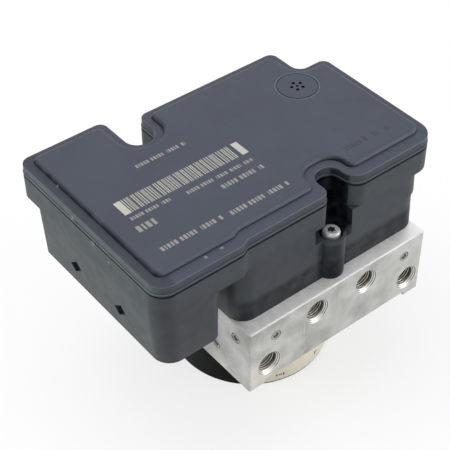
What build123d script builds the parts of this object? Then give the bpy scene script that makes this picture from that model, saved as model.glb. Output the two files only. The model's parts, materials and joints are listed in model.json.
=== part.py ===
from build123d import *
import os
from math import cos, radians, sin, tan

# An anti-lock brake module: a drilled hydraulic block, a control unit on its top face and a pump
# motor under it. Millimetres. The origin is on the motor axis, in the motor's end face, and +Z
# runs up the motor axis, through the block, to the control unit's cover. -Y is the port face.

# ---- overall sizes -------------------------------------------------------------------------
block_length = 93.0  # along X
block_depth = 96.0  # along Y
block_height = 33.0
axis_setback = 56.3  # port face to motor axis
motor_length = 40.0
motor_radius = 36.0
housing_height = 37.9  # block top to the cover's seam
cover_rim_height = 4.5
crown_height = 2.0

block_left, block_right = -block_length / 2, block_length / 2
block_front = -axis_setback
block_back = block_front + block_depth
block_bottom = motor_length
block_top = block_bottom + block_height
seam_z = block_top + housing_height
rim_z = seam_z + cover_rim_height
crown_z = rim_z + crown_height

# ---- clearances ----------------------------------------------------------------------------
press_gap = 0.02  # pressed or bonded round pieces
loose_gap = 0.3  # pieces that only stand beside each other
slide_gap = 0.1  # pistons and plungers in their bores

# ---- hydraulic block -----------------------------------------------------------------------
block_chamfer = 0.5
relief_depth = 2.3  # milled step along the bottom of the port face
relief_width = 6.0
relief_end = 8.0  # metal left standing at each end of the relief

port_thread_radius = 4.5  # wall of the M10x1 brake-line ports
port_rim_radius = 5.83
port_thread_depth = 13.0
port_seat_depth = 2.5  # cone that the pipe flare seals on
port_passage_radius = 1.6
port_passage_depth = 19.0
port_pattern_x = 1.15  # middle of the port pattern, from the motor axis
outer_port_x, outer_port_drop = 37.7, 22.4  # drop is measured down from the block's top
inner_port_x, inner_port_drop = 13.15, 9.3

inlet_thread_radius = 5.5  # wall of the M12x1 master-cylinder ports
inlet_rim_radius = 6.6
inlet_thread_depth = 12.0
inlet_port_x = 24.0
inlet_port_setback = 13.0  # from the port face

gallery_mouth_radius = 2.45
gallery_mouth_depth = 0.7
gallery_sleeve_radius = 2.0
gallery_sleeve_wall = 0.65
gallery_sleeve_length = 4.2
gallery_sleeve_sink = 0.1  # face to end of sleeve
gallery_ball_sink = 0.35  # end of sleeve to top of ball
gallery_radius = 1.4
gallery_depth = 20.0
front_gallery_x, front_gallery_drop = 34.6, 8.3
side_galleries = ((8.9, 8.5), (21.0, 21.6))  # (setback from port face, drop from top)

bracket_thread_radius = 2.5  # wall of the M6 bracket holes
bracket_hole_depth = 12.0
side_bracket_setback = 32.5  # from the port face
side_bracket_drop = 16.0
back_bracket_drop = 12.0

# ---- control unit, in plan -----------------------------------------------------------------
left_overhang = 36.6  # connector end, beyond the block's left face
right_overhang = 8.4
front_inset = 7.1  # from the port face back to the unit's front wall
left_front_inset = 5.5
back_inset = 4.7
left_back_overhang = 1.2  # beyond the block's back face
jog_start = 1.3  # from the block's left face
jog_length = 3.1  # slanted step between the two front walls
jog_radius = 1.5
left_corner_radius = 7.0
left_back_corner_radius = 4.6
right_corner_radius = 8.7
least_corner_radius = 0.6
back_corner_radius = 4.0

front_notch_x = 4.0
front_notch_width = 11.2
front_notch_depth = 12.6
front_notch_end_radius = 5.5
left_mouth_radius, right_mouth_radius = 4.0, 7.0
back_notch_left = 3.0  # from the block's left face
back_notch_width = 12.6
back_notch_end = 20.9  # from the block's back face forward
back_notch_end_radius = 5.9
corner_notch_right = 14.6  # from the unit's right end
corner_notch_back = 17.5  # from the unit's right-hand back wall
corner_notch_radius = 4.5

# ---- control unit housing ------------------------------------------------------------------
wall = 2.4
band_height = 11.2
wall_step = 0.3  # the walls under the band stand this far inside it
seam_groove = 0.8
seam_groove_depth = 1.1
floor_height = 28.4  # block top to the board bay's floor
ceiling_height = 25.6  # block top to the coil bay's ceiling
step_height = 16.2  # block top to the step at the right end
step_overhang = 3.4
foot_overhang = 2.2
front_lean = 1.2  # the front wall comes this far forward from the band down to the block
body_back_inset = 10.0
body_left_radius = 7.5

shroud_gap = 7.4  # block's left face to the connector shroud
shroud_draft = 2.0
shroud_front_inset = 6.2
shroud_back_inset = 9.8
shroud_wall = 2.2
shroud_left_radius = 7.5
shroud_right_radius = 5.0
shroud_back_radius = 2.0
socket_depth = 23.5
window_length = 6.4
window_width = 4.1
window_slant = 50.0  # of the long sides, degrees above level
window_rise = 10.0  # block top to the window's middle
window_setbacks = (34.0, 63.7)  # from the port face

screw_boss_radius = 6.0
screw_pocket_radius = 9.6
screw_pocket_floor = 19.4
screw_counterbore_radius = 4.7
screw_counterbore_depth = 2.0
front_screw_x, front_screw_setback = 1.0, 8.6
left_screw_inset = 7.7  # from the block's left face
right_screw_inset = 4.2  # from the block's right face
left_screw_from_back, right_screw_from_back = 13.0, 14.6

screw_radius = 2.0
screw_hole_clearance = 0.3
screw_head_radius = 3.7
screw_head_height = 3.8
screw_thread_depth = 10.0
recess_radius = 1.22
recess_depth = 1.6
recess_lobes = 6
lobe_radius = 0.43
lobe_circle = 1.27

seal_width = 1.2
seal_depth = 1.0
seal_margin = 0.6

# ---- cover ---------------------------------------------------------------------------------
cover_wall = 2.0
cover_edge_radius = 0.5
lip_height = 0.9  # of the skirt's foot, which stands proud of the skirt
lip_step = 0.3
crown_inset = 3.4
crown_front_step = 1.8  # the ledge in front of the crown is wider by this
crown_left_step = 0.6  # and at the left end by this
crown_corner_radius = 3.0
crown_edge_radius = 2.3
vent_x, vent_y = 30.8, 7.6  # from the motor axis
vent_radius = 8.9
vent_groove_width = 0.5
vent_groove_depth = 0.35
vent_hole_radius = 0.75
vent_hole_circle = 2.45
vent_holes = 5
vent_dimple_radius = 0.6
vent_dimple_depth = 0.25
membrane_radius = 6.0
membrane_thickness = 0.3

# ---- circuit board and connector -----------------------------------------------------------
board_stand = 2.5
board_thickness = 1.6
board_edge_gap = 0.6
post_radius = 2.4
left_posts = ((-29.5, -36.0), (-25.5, 28.0), (6.5, 6.0))  # from the block's left face, y
right_posts = ((-28.5, 20.0), (-2.5, -36.0))  # from the block's right face, y
chips = (  # x, y, length, width, height
    (-2.0, 8.0, 16.0, 16.0, 1.6),
    (20.0, -20.0, 11.0, 11.0, 2.2),
    (-24.0, -20.0, 11.0, 11.0, 2.2),
    (38.0, -4.0, 8.0, 6.0, 1.8),
)
capacitor_radius = 5.0
capacitor_height = 7.0
capacitor_spots = ((-21.5, 29.0), (-9.5, 29.0))  # from the block's left face, y
choke_radius = 6.0
choke_bore = 2.6
choke_height = 6.0
choke_spot = (-15.5, -22.0)  # from the block's left face, y

pin_width = 0.8
pin_rows = (-23.5, -18.1)  # from the block's left face
pin_pitch = 4.4
pins_in_row = 11
first_pin_setback = 33.0
blade_width = 3.0
blade_setbacks = (15.0, 23.0)
pin_reach = 12.0  # length of pin inside the socket

# ---- valves and coils ----------------------------------------------------------------------
valve_xs = (-28.5, -9.5, 9.5, 28.5)
inlet_row_y = -28.5
outlet_row_y = -10.9
valve_radius = 4.5
valve_depth = 12.0
valve_collar_radius = 5.6
valve_collar_height = 1.6
dome_radius = 3.9
dome_height = 18.0
dome_wall = 0.8
plunger_length = 14.0
inlet_plunger_lift = 0.9  # rest gap under the plunger
valve_travel = 0.35
needle_radius = 0.9
needle_length = 5.0
needle_hole_radius = 1.3

yoke_radius = 8.2
yoke_height = 18.5
yoke_wall = 1.2
yoke_bore = 4.2
coil_radius = 6.6
coil_bore = 5.0
bobbin_wall = 0.6
coil_pin_width = 0.8
coil_pin_offset = 5.8

# ---- pump ----------------------------------------------------------------------------------
chamber_radius = 9.9
chamber_height = 19.0
pump_rise = 10.0  # block bottom to the pistons' axis
pump_bore_radius = 5.5
pump_bore_end = 12.0  # from the side face to the bore's step
plug_radius = 8.0
plug_length = 10.0
plug_setback = 0.6
plug_cup_radius = 4.0
plug_cup_depth = 4.5
piston_radius = 3.0
piston_length = 16.0
pump_stroke = 2.0
eccentric_offset = 1.0
sleeve_end_wall = 1.6
sleeve_outlet_radius = 1.2
seal_ring_length = 2.2
seal_ring_setback = 1.0
pump_spring_wire = 0.35
pump_spring_turns = 4

# ---- low-pressure accumulators -------------------------------------------------------------
accumulator_x = 20.0
accumulator_rise = 16.5  # above the block's bottom
accumulator_radius = 11.8
accumulator_depth = 26.0
accumulator_piston_length = 9.0
accumulator_cup_radius = 8.6
accumulator_cup_depth = 6.0
accumulator_ring_groove = 1.6
accumulator_ring_radius = 0.7
accumulator_cap_radius = 13.2
accumulator_cap_thickness = 2.4
cap_dish_radius = 8.0
cap_dish_depth = 1.0
accumulator_wire = 0.6
accumulator_turns = 3
accumulator_coil_radius = 7.4

# ---- motor ---------------------------------------------------------------------------------
can_wall = 2.0
can_edge_radius = 1.0
end_recess_radius = 8.0
end_recess_depth = 0.8
end_pad_radius = 4.0  # flush middle of the end face
bush_hub_radius = 8.0
bush_radius = 6.0
bush_height = 5.5
flange_width = 3.0
flange_thickness = 2.0
ear_reach = 6.0  # can's outer wall to the ears' screws
ear_radius = 6.0
ear_angles = (30.0, 150.0, 270.0)
ear_screw_radius = 2.5
ear_screw_head_radius = 4.2
ear_screw_head_height = 3.0
ear_screw_depth = 9.0
ear_screw_socket = 2.2

shield_thickness = 3.0
bearing_radius = 11.0
bearing_width = 7.0
bearing_ring_wall = 1.7
bearing_ball_radius = 1.7
bearing_balls = 8
bearing_track_gap = 0.06
hub_wall = 2.0
oring_inset = 6.0  # can's outer wall to the ring's middle
oring_section = 0.8

magnet_wall = 5.6
magnet_bottom = 8.0
magnet_top = 31.0
magnet_span = 140.0
air_gap = 0.8

core_bottom, core_top = 9.0, 22.2
slot_count = 12
slot_mouth = 1.8
slot_lip = 1.4
slot_inner_radius = 14.0
slot_inner_width = 3.4
slot_outer_width = 8.6
winding_gap = 0.3
end_turn_height = 3.0
end_turn_inner = 13.0
end_turn_inset = 1.2
end_turn_round = 1.2

commutator_radius = 10.0
commutator_bottom, commutator_top = 26.3, 30.9
commutator_slots = 12
commutator_slot_width = 0.5
commutator_slot_depth = 0.8

shaft_radius = 4.0
tail_radius = 2.5
tail_length = 6.0
tail_end_gap = 0.5
shaft_nose_gap = 2.0
running_gap = 0.05

eccentric_radius = 5.2
eccentric_width = 10.0
roller_radius = 0.75
roller_count = 12
ring_wall = 1.55

holder_gap = 0.6  # can's inner wall to the brush holder
holder_plate = 1.6
holder_top = 36.6
brush_width = 5.0
brush_height = 4.0
brush_length = 9.0
brush_gap = 0.3
box_wall = 1.0
box_length = 15.0
brush_wire = 0.3
brush_spring_turns = 3
brush_spring_radius = 1.3

terminal_y = 18.0
terminal_offset = 1.9
terminal_width = 2.4
terminal_thickness = 0.8
insulator_radius = 4.0
insulator_collar = 1.5

label_thickness = 0.15
label_start, label_end = -126.0, -38.0  # degrees round the motor axis
label_bottom, label_top = 1.4, 27.0

# ---- places worked out from the sizes ------------------------------------------------------
ecu_left = block_left - left_overhang
ecu_right = block_right + right_overhang
ecu_front = block_front + front_inset
ecu_left_front = block_front + left_front_inset
ecu_back = block_back - back_inset
ecu_left_back = block_back + left_back_overhang
body_back = block_back - body_back_inset
band_z = seam_z - band_height
floor_z = block_top + floor_height
ceiling_z = block_top + ceiling_height
step_z = block_top + step_height
pocket_z = block_top + screw_pocket_floor
board_z = floor_z + board_stand
board_top = board_z + board_thickness
pump_z = block_bottom + pump_rise
hub_low = block_bottom - bearing_width - bearing_ring_wall
accumulator_z = block_bottom + accumulator_rise
chamber_top = block_bottom + chamber_height
dome_top = block_top + dome_height
yoke_bottom = block_top + loose_gap
yoke_top = yoke_bottom + yoke_height
magnet_radius = motor_radius - can_wall - press_gap
flange_radius = motor_radius + flange_width
ear_circle = motor_radius + ear_reach
oring_radius = motor_radius - oring_inset
holder_radius = motor_radius - can_wall - holder_gap
core_radius = magnet_radius - magnet_wall - air_gap
roller_circle = eccentric_radius + running_gap + roller_radius
ring_bore = eccentric_radius + 2 * (running_gap + roller_radius)
ring_radius = ring_bore + ring_wall
piston_tip = ring_radius + eccentric_offset + loose_gap
sleeve_length = piston_length + pump_stroke
sleeve_start = block_right - pump_bore_end - sleeve_length
piston_end = piston_tip + piston_length
board_posts = [(block_left + x, y) for x, y in left_posts]
board_posts += [(block_right + x, y) for x, y in right_posts]
housing_screws = (
    (front_screw_x, block_front + front_screw_setback),
    (block_left + left_screw_inset, block_back - left_screw_from_back),
    (block_right - right_screw_inset, block_back - right_screw_from_back),
)
valve_spots = [(x, y) for y in (inlet_row_y, outlet_row_y) for x in valve_xs]
sides = (-1, 1)


# ---- shapes that several pieces use --------------------------------------------------------
def outline(corners):
    """Flat face inside a closed line through (x, y, corner radius) points."""
    points = [(x, y) for x, y, _ in corners]
    radii = [radius for _, _, radius in corners]
    return make_face(FilletPolyline(*points, radius=radii, close=True))


def prism(face, low, high):
    """Upright prism on a flat face, from height low to height high."""
    return Pos(0, 0, low) * extrude(face, high - low)


def disc(radius, low, high, x=0.0, y=0.0):
    """Upright cylinder."""
    return prism(Pos(x, y) * Circle(radius), low, high)


def brick(x_low, x_high, y_low, y_high, low, high):
    """Box between its six faces."""
    size = (x_high - x_low, y_high - y_low, high - low)
    return Pos(x_low, y_low, low) * Box(*size, align=(Align.MIN, Align.MIN, Align.MIN))


def turned(profile):
    """Solid of revolution about Z, from (radius, height) points in order round the section."""
    section = Plane.XZ * make_face(Polyline(*profile, close=True))
    return revolve(section, Axis.Z)


def bore(steps):
    """Stepped bore about +Z, from its mouth at 0 inwards, as (radius, depth) points."""
    return turned([(0, 0), *steps, (0, steps[-1][1])])


def facing(x, y, z, direction):
    """Plane at a point, whose Z axis runs the given way."""
    return Plane(origin=(x, y, z), z_dir=direction)


def lowered(level):
    """Height that lies the given drop under the block's top."""
    return block_top - level


def spring(radius, wire, length, turns):
    """Coil spring about Z from 0 to length, its ends half a wire inside the ends."""
    path = Helix(pitch=(length - 2 * wire) / turns, height=length - 2 * wire, radius=radius)
    section = Plane(origin=path @ 0, z_dir=path % 0) * RegularPolygon(wire, 6)
    return Pos(0, 0, wire) * sweep(section, path=path)


def group(pieces):
    """Separate solids kept together in one part."""
    return Compound(children=list(pieces))


def convex(radius, inset, least=least_corner_radius):
    """Radius of an outside corner after the outline is moved inwards."""
    return max(radius - inset, least)


def ecu_outline(inset=0.0, front_step=0.0, left_step=0.0, least=least_corner_radius):
    """Plan of the control unit's band and cover, moved inwards, more so at the front and left."""
    notch_low = front_notch_x - front_notch_width / 2 - inset
    notch_high = front_notch_x + front_notch_width / 2 + inset
    notch_end = ecu_front + front_notch_depth + inset
    slot_low = block_left + back_notch_left - inset
    slot_high = block_left + back_notch_left + back_notch_width + inset
    slot_end = block_back - back_notch_end - inset
    corner_x = ecu_right - corner_notch_right - inset
    corner_y = ecu_back - corner_notch_back - inset
    left, right = ecu_left + inset + left_step, ecu_right - inset
    front, left_front = ecu_front + inset + front_step, ecu_left_front + inset + front_step
    back, left_back = ecu_back - inset, ecu_left_back - inset
    low_mouth = convex(left_mouth_radius, inset, least)
    high_mouth = convex(right_mouth_radius, inset, least)
    back_radius = convex(back_corner_radius, inset, least)
    end_radius = front_notch_end_radius + inset
    room = notch_end - front - least_corner_radius
    return outline(
        [
            (left, left_front, convex(left_corner_radius, inset, least)),
            (block_left + jog_start, left_front, convex(jog_radius, inset, least)),
            (block_left + jog_start + jog_length, front, jog_radius + inset),
            (notch_low, front, low_mouth),
            (notch_low, notch_end, min(end_radius, room - low_mouth)),
            (notch_high, notch_end, min(end_radius, room - high_mouth)),
            (notch_high, front, high_mouth),
            (right, front, convex(right_corner_radius, inset, least)),
            (right, corner_y, back_radius),
            (corner_x, corner_y, corner_notch_radius + inset),
            (corner_x, back, back_radius),
            (slot_high, back, back_radius),
            (slot_high, slot_end, back_notch_end_radius + inset),
            (slot_low, slot_end, back_notch_end_radius + inset),
            (slot_low, left_back, back_radius),
            (left, left_back, convex(left_back_corner_radius, inset, least)),
        ]
    )


def body_outline(overhang, height):
    """Plan of the housing's body at a height, overhanging the block's right face."""
    lean = front_lean * (band_z - height) / (band_z - block_top)
    front = ecu_front + wall_step - lean
    right = block_right + overhang
    return outline(
        [
            (block_left, front, body_left_radius),
            (right, front, right_corner_radius),
            (right, body_back, right_corner_radius),
            (block_left, body_back, right_corner_radius),
        ]
    )


def body_block(overhang, low, high):
    """Part of the housing's body between two heights."""
    lower = Pos(0, 0, low) * body_outline(overhang, low)
    upper = Pos(0, 0, high) * body_outline(overhang, high)
    return loft([lower, upper], ruled=True)


def coil_bay_outline(grow=0.0):
    """Plan of the bay over the valves, with the screw bosses left standing in it."""
    left, right = block_left + wall - grow, block_right - wall + grow
    front, back = ecu_front + wall - grow, body_back - wall + grow
    radius = body_left_radius - wall + grow
    corners = [(left, front), (right, front), (right, back), (left, back)]
    bay = outline([(x, y, radius) for x, y in corners])
    for x, y in housing_screws:
        bay -= Pos(x, y) * Circle(screw_boss_radius - grow)
    return bay


def shroud_outline(inset, draft):
    """Plan of the connector shroud, drawn in by draft at the left and front, out at the back."""
    left = ecu_left + draft + inset
    right = block_left - shroud_gap - inset
    front = block_front + shroud_front_inset + draft / 3 + inset
    back = block_back - shroud_back_inset + draft - inset
    left_radius = convex(shroud_left_radius, inset)
    right_radius = convex(shroud_right_radius, inset)
    return outline(
        [
            (left, front, left_radius),
            (right, front, right_radius),
            (right, back, right_radius),
            (left, back, convex(shroud_back_radius, inset)),
        ]
    )


def shroud_block(inset, low, high):
    """The shroud's tapered block between two heights; the draft ends at the band."""
    rise = band_z - block_top

    def draft(height):
        return shroud_draft * (band_z - height) / rise + wall_step

    lower = Pos(0, 0, low) * shroud_outline(inset, draft(low))
    upper = Pos(0, 0, high) * shroud_outline(inset, draft(high))
    return loft([lower, upper], ruled=True)


# ---- hydraulic block -----------------------------------------------------------------------
def port_positions():
    """(x, z) of the four brake-line ports in the port face."""
    outer = [(port_pattern_x + side * outer_port_x, lowered(outer_port_drop)) for side in sides]
    inner = [(port_pattern_x + side * inner_port_x, lowered(inner_port_drop)) for side in sides]
    return outer + inner


def gallery_mouths():
    """Planes at the mouths of the drilled galleries, pointing into the block."""
    mouths = []
    for side in sides:
        x = port_pattern_x + side * front_gallery_x
        mouths.append(facing(x, block_front, lowered(front_gallery_drop), (0, 1, 0)))
        for setback, drop in side_galleries:
            y = block_front + setback
            mouths.append(facing(side * block_right, y, lowered(drop), (-side, 0, 0)))
    return mouths


def motor_screw_spots():
    """(x, y) of the three motor ears."""
    return [(ear_circle * cos(radians(a)), ear_circle * sin(radians(a))) for a in ear_angles]


def hydraulic_block():
    body = brick(block_left, block_right, block_front, block_back, block_bottom, block_top)
    body = chamfer(body.edges(), block_chamfer)
    body -= brick(
        block_left + relief_end,
        block_right - relief_end,
        block_front - block_chamfer,
        block_front + relief_width,
        block_bottom - block_chamfer,
        block_bottom + relief_depth,
    )
    rim = port_rim_radius - port_thread_radius
    port = bore(
        [
            (port_rim_radius, 0),
            (port_thread_radius, rim),
            (port_thread_radius, port_thread_depth),
            (port_passage_radius, port_thread_depth + port_seat_depth),
            (port_passage_radius, port_passage_depth),
        ]
    )
    for x, z in port_positions():
        body -= facing(x, block_front, z, (0, 1, 0)) * port
    inlet_rim = inlet_rim_radius - inlet_thread_radius
    inlet = bore(
        [
            (inlet_rim_radius, 0),
            (inlet_thread_radius, inlet_rim),
            (inlet_thread_radius, inlet_thread_depth),
            (port_passage_radius, inlet_thread_depth + port_seat_depth),
        ]
    )
    inlet_y = block_front + inlet_port_setback
    for side in sides:
        body -= facing(side * inlet_port_x, inlet_y, block_bottom, (0, 0, 1)) * inlet
    sleeve_seat = gallery_sleeve_sink + gallery_sleeve_length
    gallery = bore(
        [
            (gallery_mouth_radius, 0),
            (gallery_mouth_radius, gallery_mouth_depth),
            (gallery_sleeve_radius + press_gap, gallery_mouth_depth),
            (gallery_sleeve_radius + press_gap, sleeve_seat),
            (gallery_radius, sleeve_seat),
            (gallery_radius, gallery_depth),
        ]
    )
    for mouth in gallery_mouths():
        body -= mouth * gallery
    valve = bore(
        [
            (valve_collar_radius + press_gap, 0),
            (valve_collar_radius + press_gap, valve_collar_height),
            (valve_radius + press_gap, valve_collar_height),
            (valve_radius + press_gap, valve_depth),
        ]
    )
    for x, y in valve_spots:
        body -= facing(x, y, block_top, (0, 0, -1)) * valve
    pump = bore(
        [
            (plug_radius + press_gap, 0),
            (plug_radius + press_gap, pump_bore_end),
            (pump_bore_radius + press_gap, pump_bore_end),
            (pump_bore_radius + press_gap, block_right),
        ]
    )
    for side in sides:
        body -= facing(side * block_right, 0, pump_z, (-side, 0, 0)) * pump
    body -= disc(chamber_radius, block_bottom, chamber_top)
    accumulator = bore(
        [
            (accumulator_cap_radius + press_gap, 0),
            (accumulator_cap_radius + press_gap, accumulator_cap_thickness + plug_setback),
            (accumulator_radius, accumulator_cap_thickness + plug_setback),
            (accumulator_radius, accumulator_depth),
        ]
    )
    for side in sides:
        body -= facing(side * accumulator_x, block_back, accumulator_z, (0, -1, 0)) * accumulator
    bracket = bore([(bracket_thread_radius, 0), (bracket_thread_radius, bracket_hole_depth)])
    for side in sides:
        side_y = block_front + side_bracket_setback
        body -= facing(side * block_right, side_y, lowered(side_bracket_drop), (-side, 0, 0)) * bracket
    body -= facing(0, block_back, lowered(back_bracket_drop), (0, -1, 0)) * bracket
    for x, y in housing_screws:
        body -= disc(screw_radius + press_gap, block_top - screw_thread_depth, block_top, x, y)
    screw_end = block_bottom + ear_screw_depth
    for x, y in motor_screw_spots():
        body -= disc(ear_screw_radius + press_gap, block_bottom, screw_end, x, y)
    body -= disc(insulator_radius + press_gap, block_bottom, block_top, 0, terminal_y)
    body -= oring_groove()
    return body


def oring_groove():
    """Square groove in the block's bottom face for the motor's O-ring."""
    high = block_bottom + 2 * oring_section
    outer = disc(oring_radius + oring_section, block_bottom, high)
    return outer - disc(oring_radius - oring_section, block_bottom, high)


def gallery_plugs():
    """Cupped sleeves that seal the drilled galleries, each spread by the ball pressed into it."""
    low, high = gallery_sleeve_sink, gallery_sleeve_sink + gallery_sleeve_length
    inner = gallery_sleeve_radius - gallery_sleeve_wall
    sleeve = disc(gallery_sleeve_radius, low, high) - disc(inner, low, high - gallery_sleeve_wall)
    radius = inner - press_gap
    ball = Pos(0, 0, gallery_sleeve_sink + gallery_ball_sink + radius) * Sphere(radius)
    return group(mouth * piece for piece in (sleeve, ball) for mouth in gallery_mouths())


# ---- control unit --------------------------------------------------------------------------
def pin_spots():
    """(x, y, size along y) of every connector pin."""
    spots = []
    for row in pin_rows:
        x = block_left + row
        for setback in blade_setbacks:
            spots.append((x, block_front + setback, blade_width))
        for index in range(pins_in_row):
            y = block_front + first_pin_setback + index * pin_pitch
            spots.append((x, y, pin_width))
    return spots


def coil_pin_spots():
    """(x, y) of the two terminals of each coil."""
    return [(x + side * coil_pin_offset, y) for x, y in valve_spots for side in sides]


def post(x, y, size_x, size_y, low, high):
    """Straight rectangular pin about a point."""
    return brick(x - size_x / 2, x + size_x / 2, y - size_y / 2, y + size_y / 2, low, high)


def connector_pin(x, y, size, low, high):
    return post(x, y, pin_width, size, low, high)


def coil_pin(x, y, low, high):
    return post(x, y, coil_pin_width, coil_pin_width, low, high)


def motor_blade(side, low, high):
    return post(side * terminal_offset, terminal_y, terminal_thickness, terminal_width, low, high)


def ecu_housing():
    """Tray of the control unit: the band that holds the circuit board, with its floor."""
    tray = prism(ecu_outline(), band_z, seam_z) - prism(ecu_outline(wall), floor_z, seam_z)
    inner_edge = prism(ecu_outline(seam_groove_depth), seam_z - seam_groove, seam_z)
    tray -= prism(ecu_outline(), seam_z - seam_groove, seam_z) - inner_edge
    tray -= pin_slots()
    for x, y in board_posts:
        tray += disc(post_radius, floor_z, board_z, x, y)
    return tray


def coil_housing():
    """Body between the block and the tray, round the coils, with the screw bosses."""
    body = body_block(step_overhang, step_z, band_z) + body_block(foot_overhang, block_top, step_z)
    for x, y in housing_screws:
        body += disc(screw_boss_radius, block_top, pocket_z, x, y)
    coil_bay = prism(coil_bay_outline(), block_top, ceiling_z)
    for x, y in housing_screws:
        coil_bay -= disc(screw_pocket_radius + wall, pocket_z - wall, ceiling_z, x, y)
    body -= coil_bay
    counterbore_z = pocket_z - screw_counterbore_depth
    for x, y in housing_screws:
        body -= disc(screw_pocket_radius, pocket_z, band_z, x, y)
        body -= disc(screw_counterbore_radius, counterbore_z, pocket_z, x, y)
        body -= disc(screw_radius + screw_hole_clearance, block_top, pocket_z, x, y)
    return body - housing_seal() - pin_slots()


def connector_shroud():
    """Socket of the wiring harness, open below, with its two slanted lock windows."""
    shroud = shroud_block(0, block_top, band_z)
    shroud -= shroud_block(shroud_wall, block_top, block_top + socket_depth)
    window = Rot(window_slant, 0, 0) * Box(4 * shroud_wall, window_width, window_length)
    for setback in window_setbacks:
        y, z = block_front + setback, block_top + window_rise
        shroud -= Pos(ecu_left + shroud_draft + shroud_wall / 2, y, z) * window
    return shroud - pin_slots()


def pin_slots():
    """Slots for the connector pins, the coil pins and the motor blades."""
    slots = [
        connector_pin(x, y, size, block_top + socket_depth, floor_z)
        for x, y, size in pin_spots()
    ]
    slots += [coil_pin(x, y, ceiling_z, floor_z) for x, y in coil_pin_spots()]
    slots += [motor_blade(side, ceiling_z, floor_z) for side in sides]
    return group(slots)


def housing_seal():
    """Flat rubber cord round the coil bay, flush with the housing's foot."""
    ring = prism(coil_bay_outline(seal_margin + seal_width), block_top, block_top + seal_depth)
    return ring - prism(coil_bay_outline(seal_margin), block_top, block_top + seal_depth)


def ecu_cover():
    skirt = prism(ecu_outline(lip_step), seam_z, rim_z)
    skirt = fillet(skirt.edges().group_by(Axis.Z)[-1], cover_edge_radius)
    plan = ecu_outline(crown_inset, crown_front_step, crown_left_step, crown_corner_radius)
    crown = prism(plan, rim_z - cover_wall, crown_z)
    crown = fillet(crown.edges().group_by(Axis.Z)[-1], crown_edge_radius)
    cover = skirt + crown + prism(ecu_outline(), seam_z, seam_z + lip_height)
    cover -= prism(ecu_outline(cover_wall), seam_z, rim_z - cover_wall)
    bay = ecu_outline(crown_inset + cover_wall, crown_front_step, crown_left_step)
    cover -= prism(bay, rim_z - cover_wall, crown_z - cover_wall)
    groove_low = crown_z - vent_groove_depth
    groove = disc(vent_radius, groove_low, crown_z, vent_x, vent_y)
    cover -= groove - disc(vent_radius - vent_groove_width, groove_low, crown_z, vent_x, vent_y)
    for index in range(vent_holes):
        angle = radians(90 + index * 360 / vent_holes)
        x = vent_x + vent_hole_circle * cos(angle)
        y = vent_y + vent_hole_circle * sin(angle)
        cover -= disc(vent_hole_radius, crown_z - cover_wall, crown_z, x, y)
    return cover - disc(vent_dimple_radius, crown_z - vent_dimple_depth, crown_z, vent_x, vent_y)


def vent_membrane():
    inner_face = crown_z - cover_wall
    return disc(membrane_radius, inner_face - membrane_thickness, inner_face, vent_x, vent_y)


def housing_screw():
    """Pan-head screw with a lobed recess, standing on its thread, head seat at 0."""
    head = disc(screw_head_radius, 0, screw_head_height)
    head = fillet(head.edges().group_by(Axis.Z)[-1], screw_head_height / 3)
    recess = Circle(recess_radius)
    for index in range(recess_lobes):
        angle = radians(index * 360 / recess_lobes)
        recess += Pos(lobe_circle * cos(angle), lobe_circle * sin(angle)) * Circle(lobe_radius)
    head -= prism(recess, screw_head_height - recess_depth, screw_head_height)
    seat = pocket_z - screw_counterbore_depth
    shank = disc(screw_radius, block_top - screw_thread_depth - seat + screw_radius / 2, 0)
    return head + shank


def housing_screws_group():
    seat = pocket_z - screw_counterbore_depth
    return group(Pos(x, y, seat) * housing_screw() for x, y in housing_screws)


def circuit_board():
    board = prism(ecu_outline(wall + board_edge_gap), board_z, board_top)
    for x, y, size in pin_spots():
        board -= connector_pin(x, y, size, board_z, board_top)
    for x, y in coil_pin_spots():
        board -= coil_pin(x, y, board_z, board_top)
    for side in sides:
        board -= motor_blade(side, board_z, board_top)
    return board


def board_components():
    """Chips, two capacitors and a ring choke, soldered on the board."""
    pieces = []
    for x, y, length, width, height in chips:
        pieces.append(post(x, y, length, width, board_top, board_top + height))
    can = disc(capacitor_radius, board_top, board_top + capacitor_height)
    can = fillet(can.edges().group_by(Axis.Z)[-1], capacitor_radius / 6)
    pieces += [Pos(block_left + x, y) * can for x, y in capacitor_spots]
    choke = disc(choke_radius, board_top, board_top + choke_height)
    choke = fillet(choke.edges().group_by(Axis.Z)[-1], choke_radius / 6)
    choke -= disc(choke_bore, board_top, board_top + choke_height)
    choke_x, choke_y = choke_spot
    return group([*pieces, Pos(block_left + choke_x, choke_y) * choke])


def connector_pins():
    low = block_top + socket_depth - pin_reach
    return group(connector_pin(x, y, size, low, board_top) for x, y, size in pin_spots())


# ---- valves and coils ----------------------------------------------------------------------
def valve_cartridge():
    """Turned cartridge with its closed dome, its collar's top at the block's top face."""
    inner = dome_radius - dome_wall
    bottom = block_top - valve_depth
    collar_bottom = block_top - valve_collar_height
    cavity_bottom = dome_top - dome_wall - plunger_length - inlet_plunger_lift
    needle_bottom = cavity_bottom - needle_length - valve_travel
    body = turned(
        [
            (0, bottom),
            (valve_radius, bottom),
            (valve_radius, collar_bottom),
            (valve_collar_radius, collar_bottom),
            (valve_collar_radius, block_top),
            (dome_radius, block_top),
            (dome_radius, dome_top),
            (0, dome_top),
        ]
    )
    body = fillet(body.edges().group_by(Axis.Z)[-1], dome_radius / 2)
    body -= disc(inner, cavity_bottom, dome_top - dome_wall)
    return body - disc(needle_hole_radius, needle_bottom, cavity_bottom)


def plunger(rest_gap):
    """Armature with its needle, standing rest_gap above the bottom of its cavity."""
    cavity_bottom = dome_top - dome_wall - plunger_length - inlet_plunger_lift
    low = cavity_bottom + rest_gap
    radius = dome_radius - dome_wall - slide_gap
    body = disc(radius, low, low + plunger_length)
    body = chamfer(body.edges().group_by(Axis.Z)[-1], radius / 6)
    return body + disc(needle_radius, low - needle_length, low)


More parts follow.
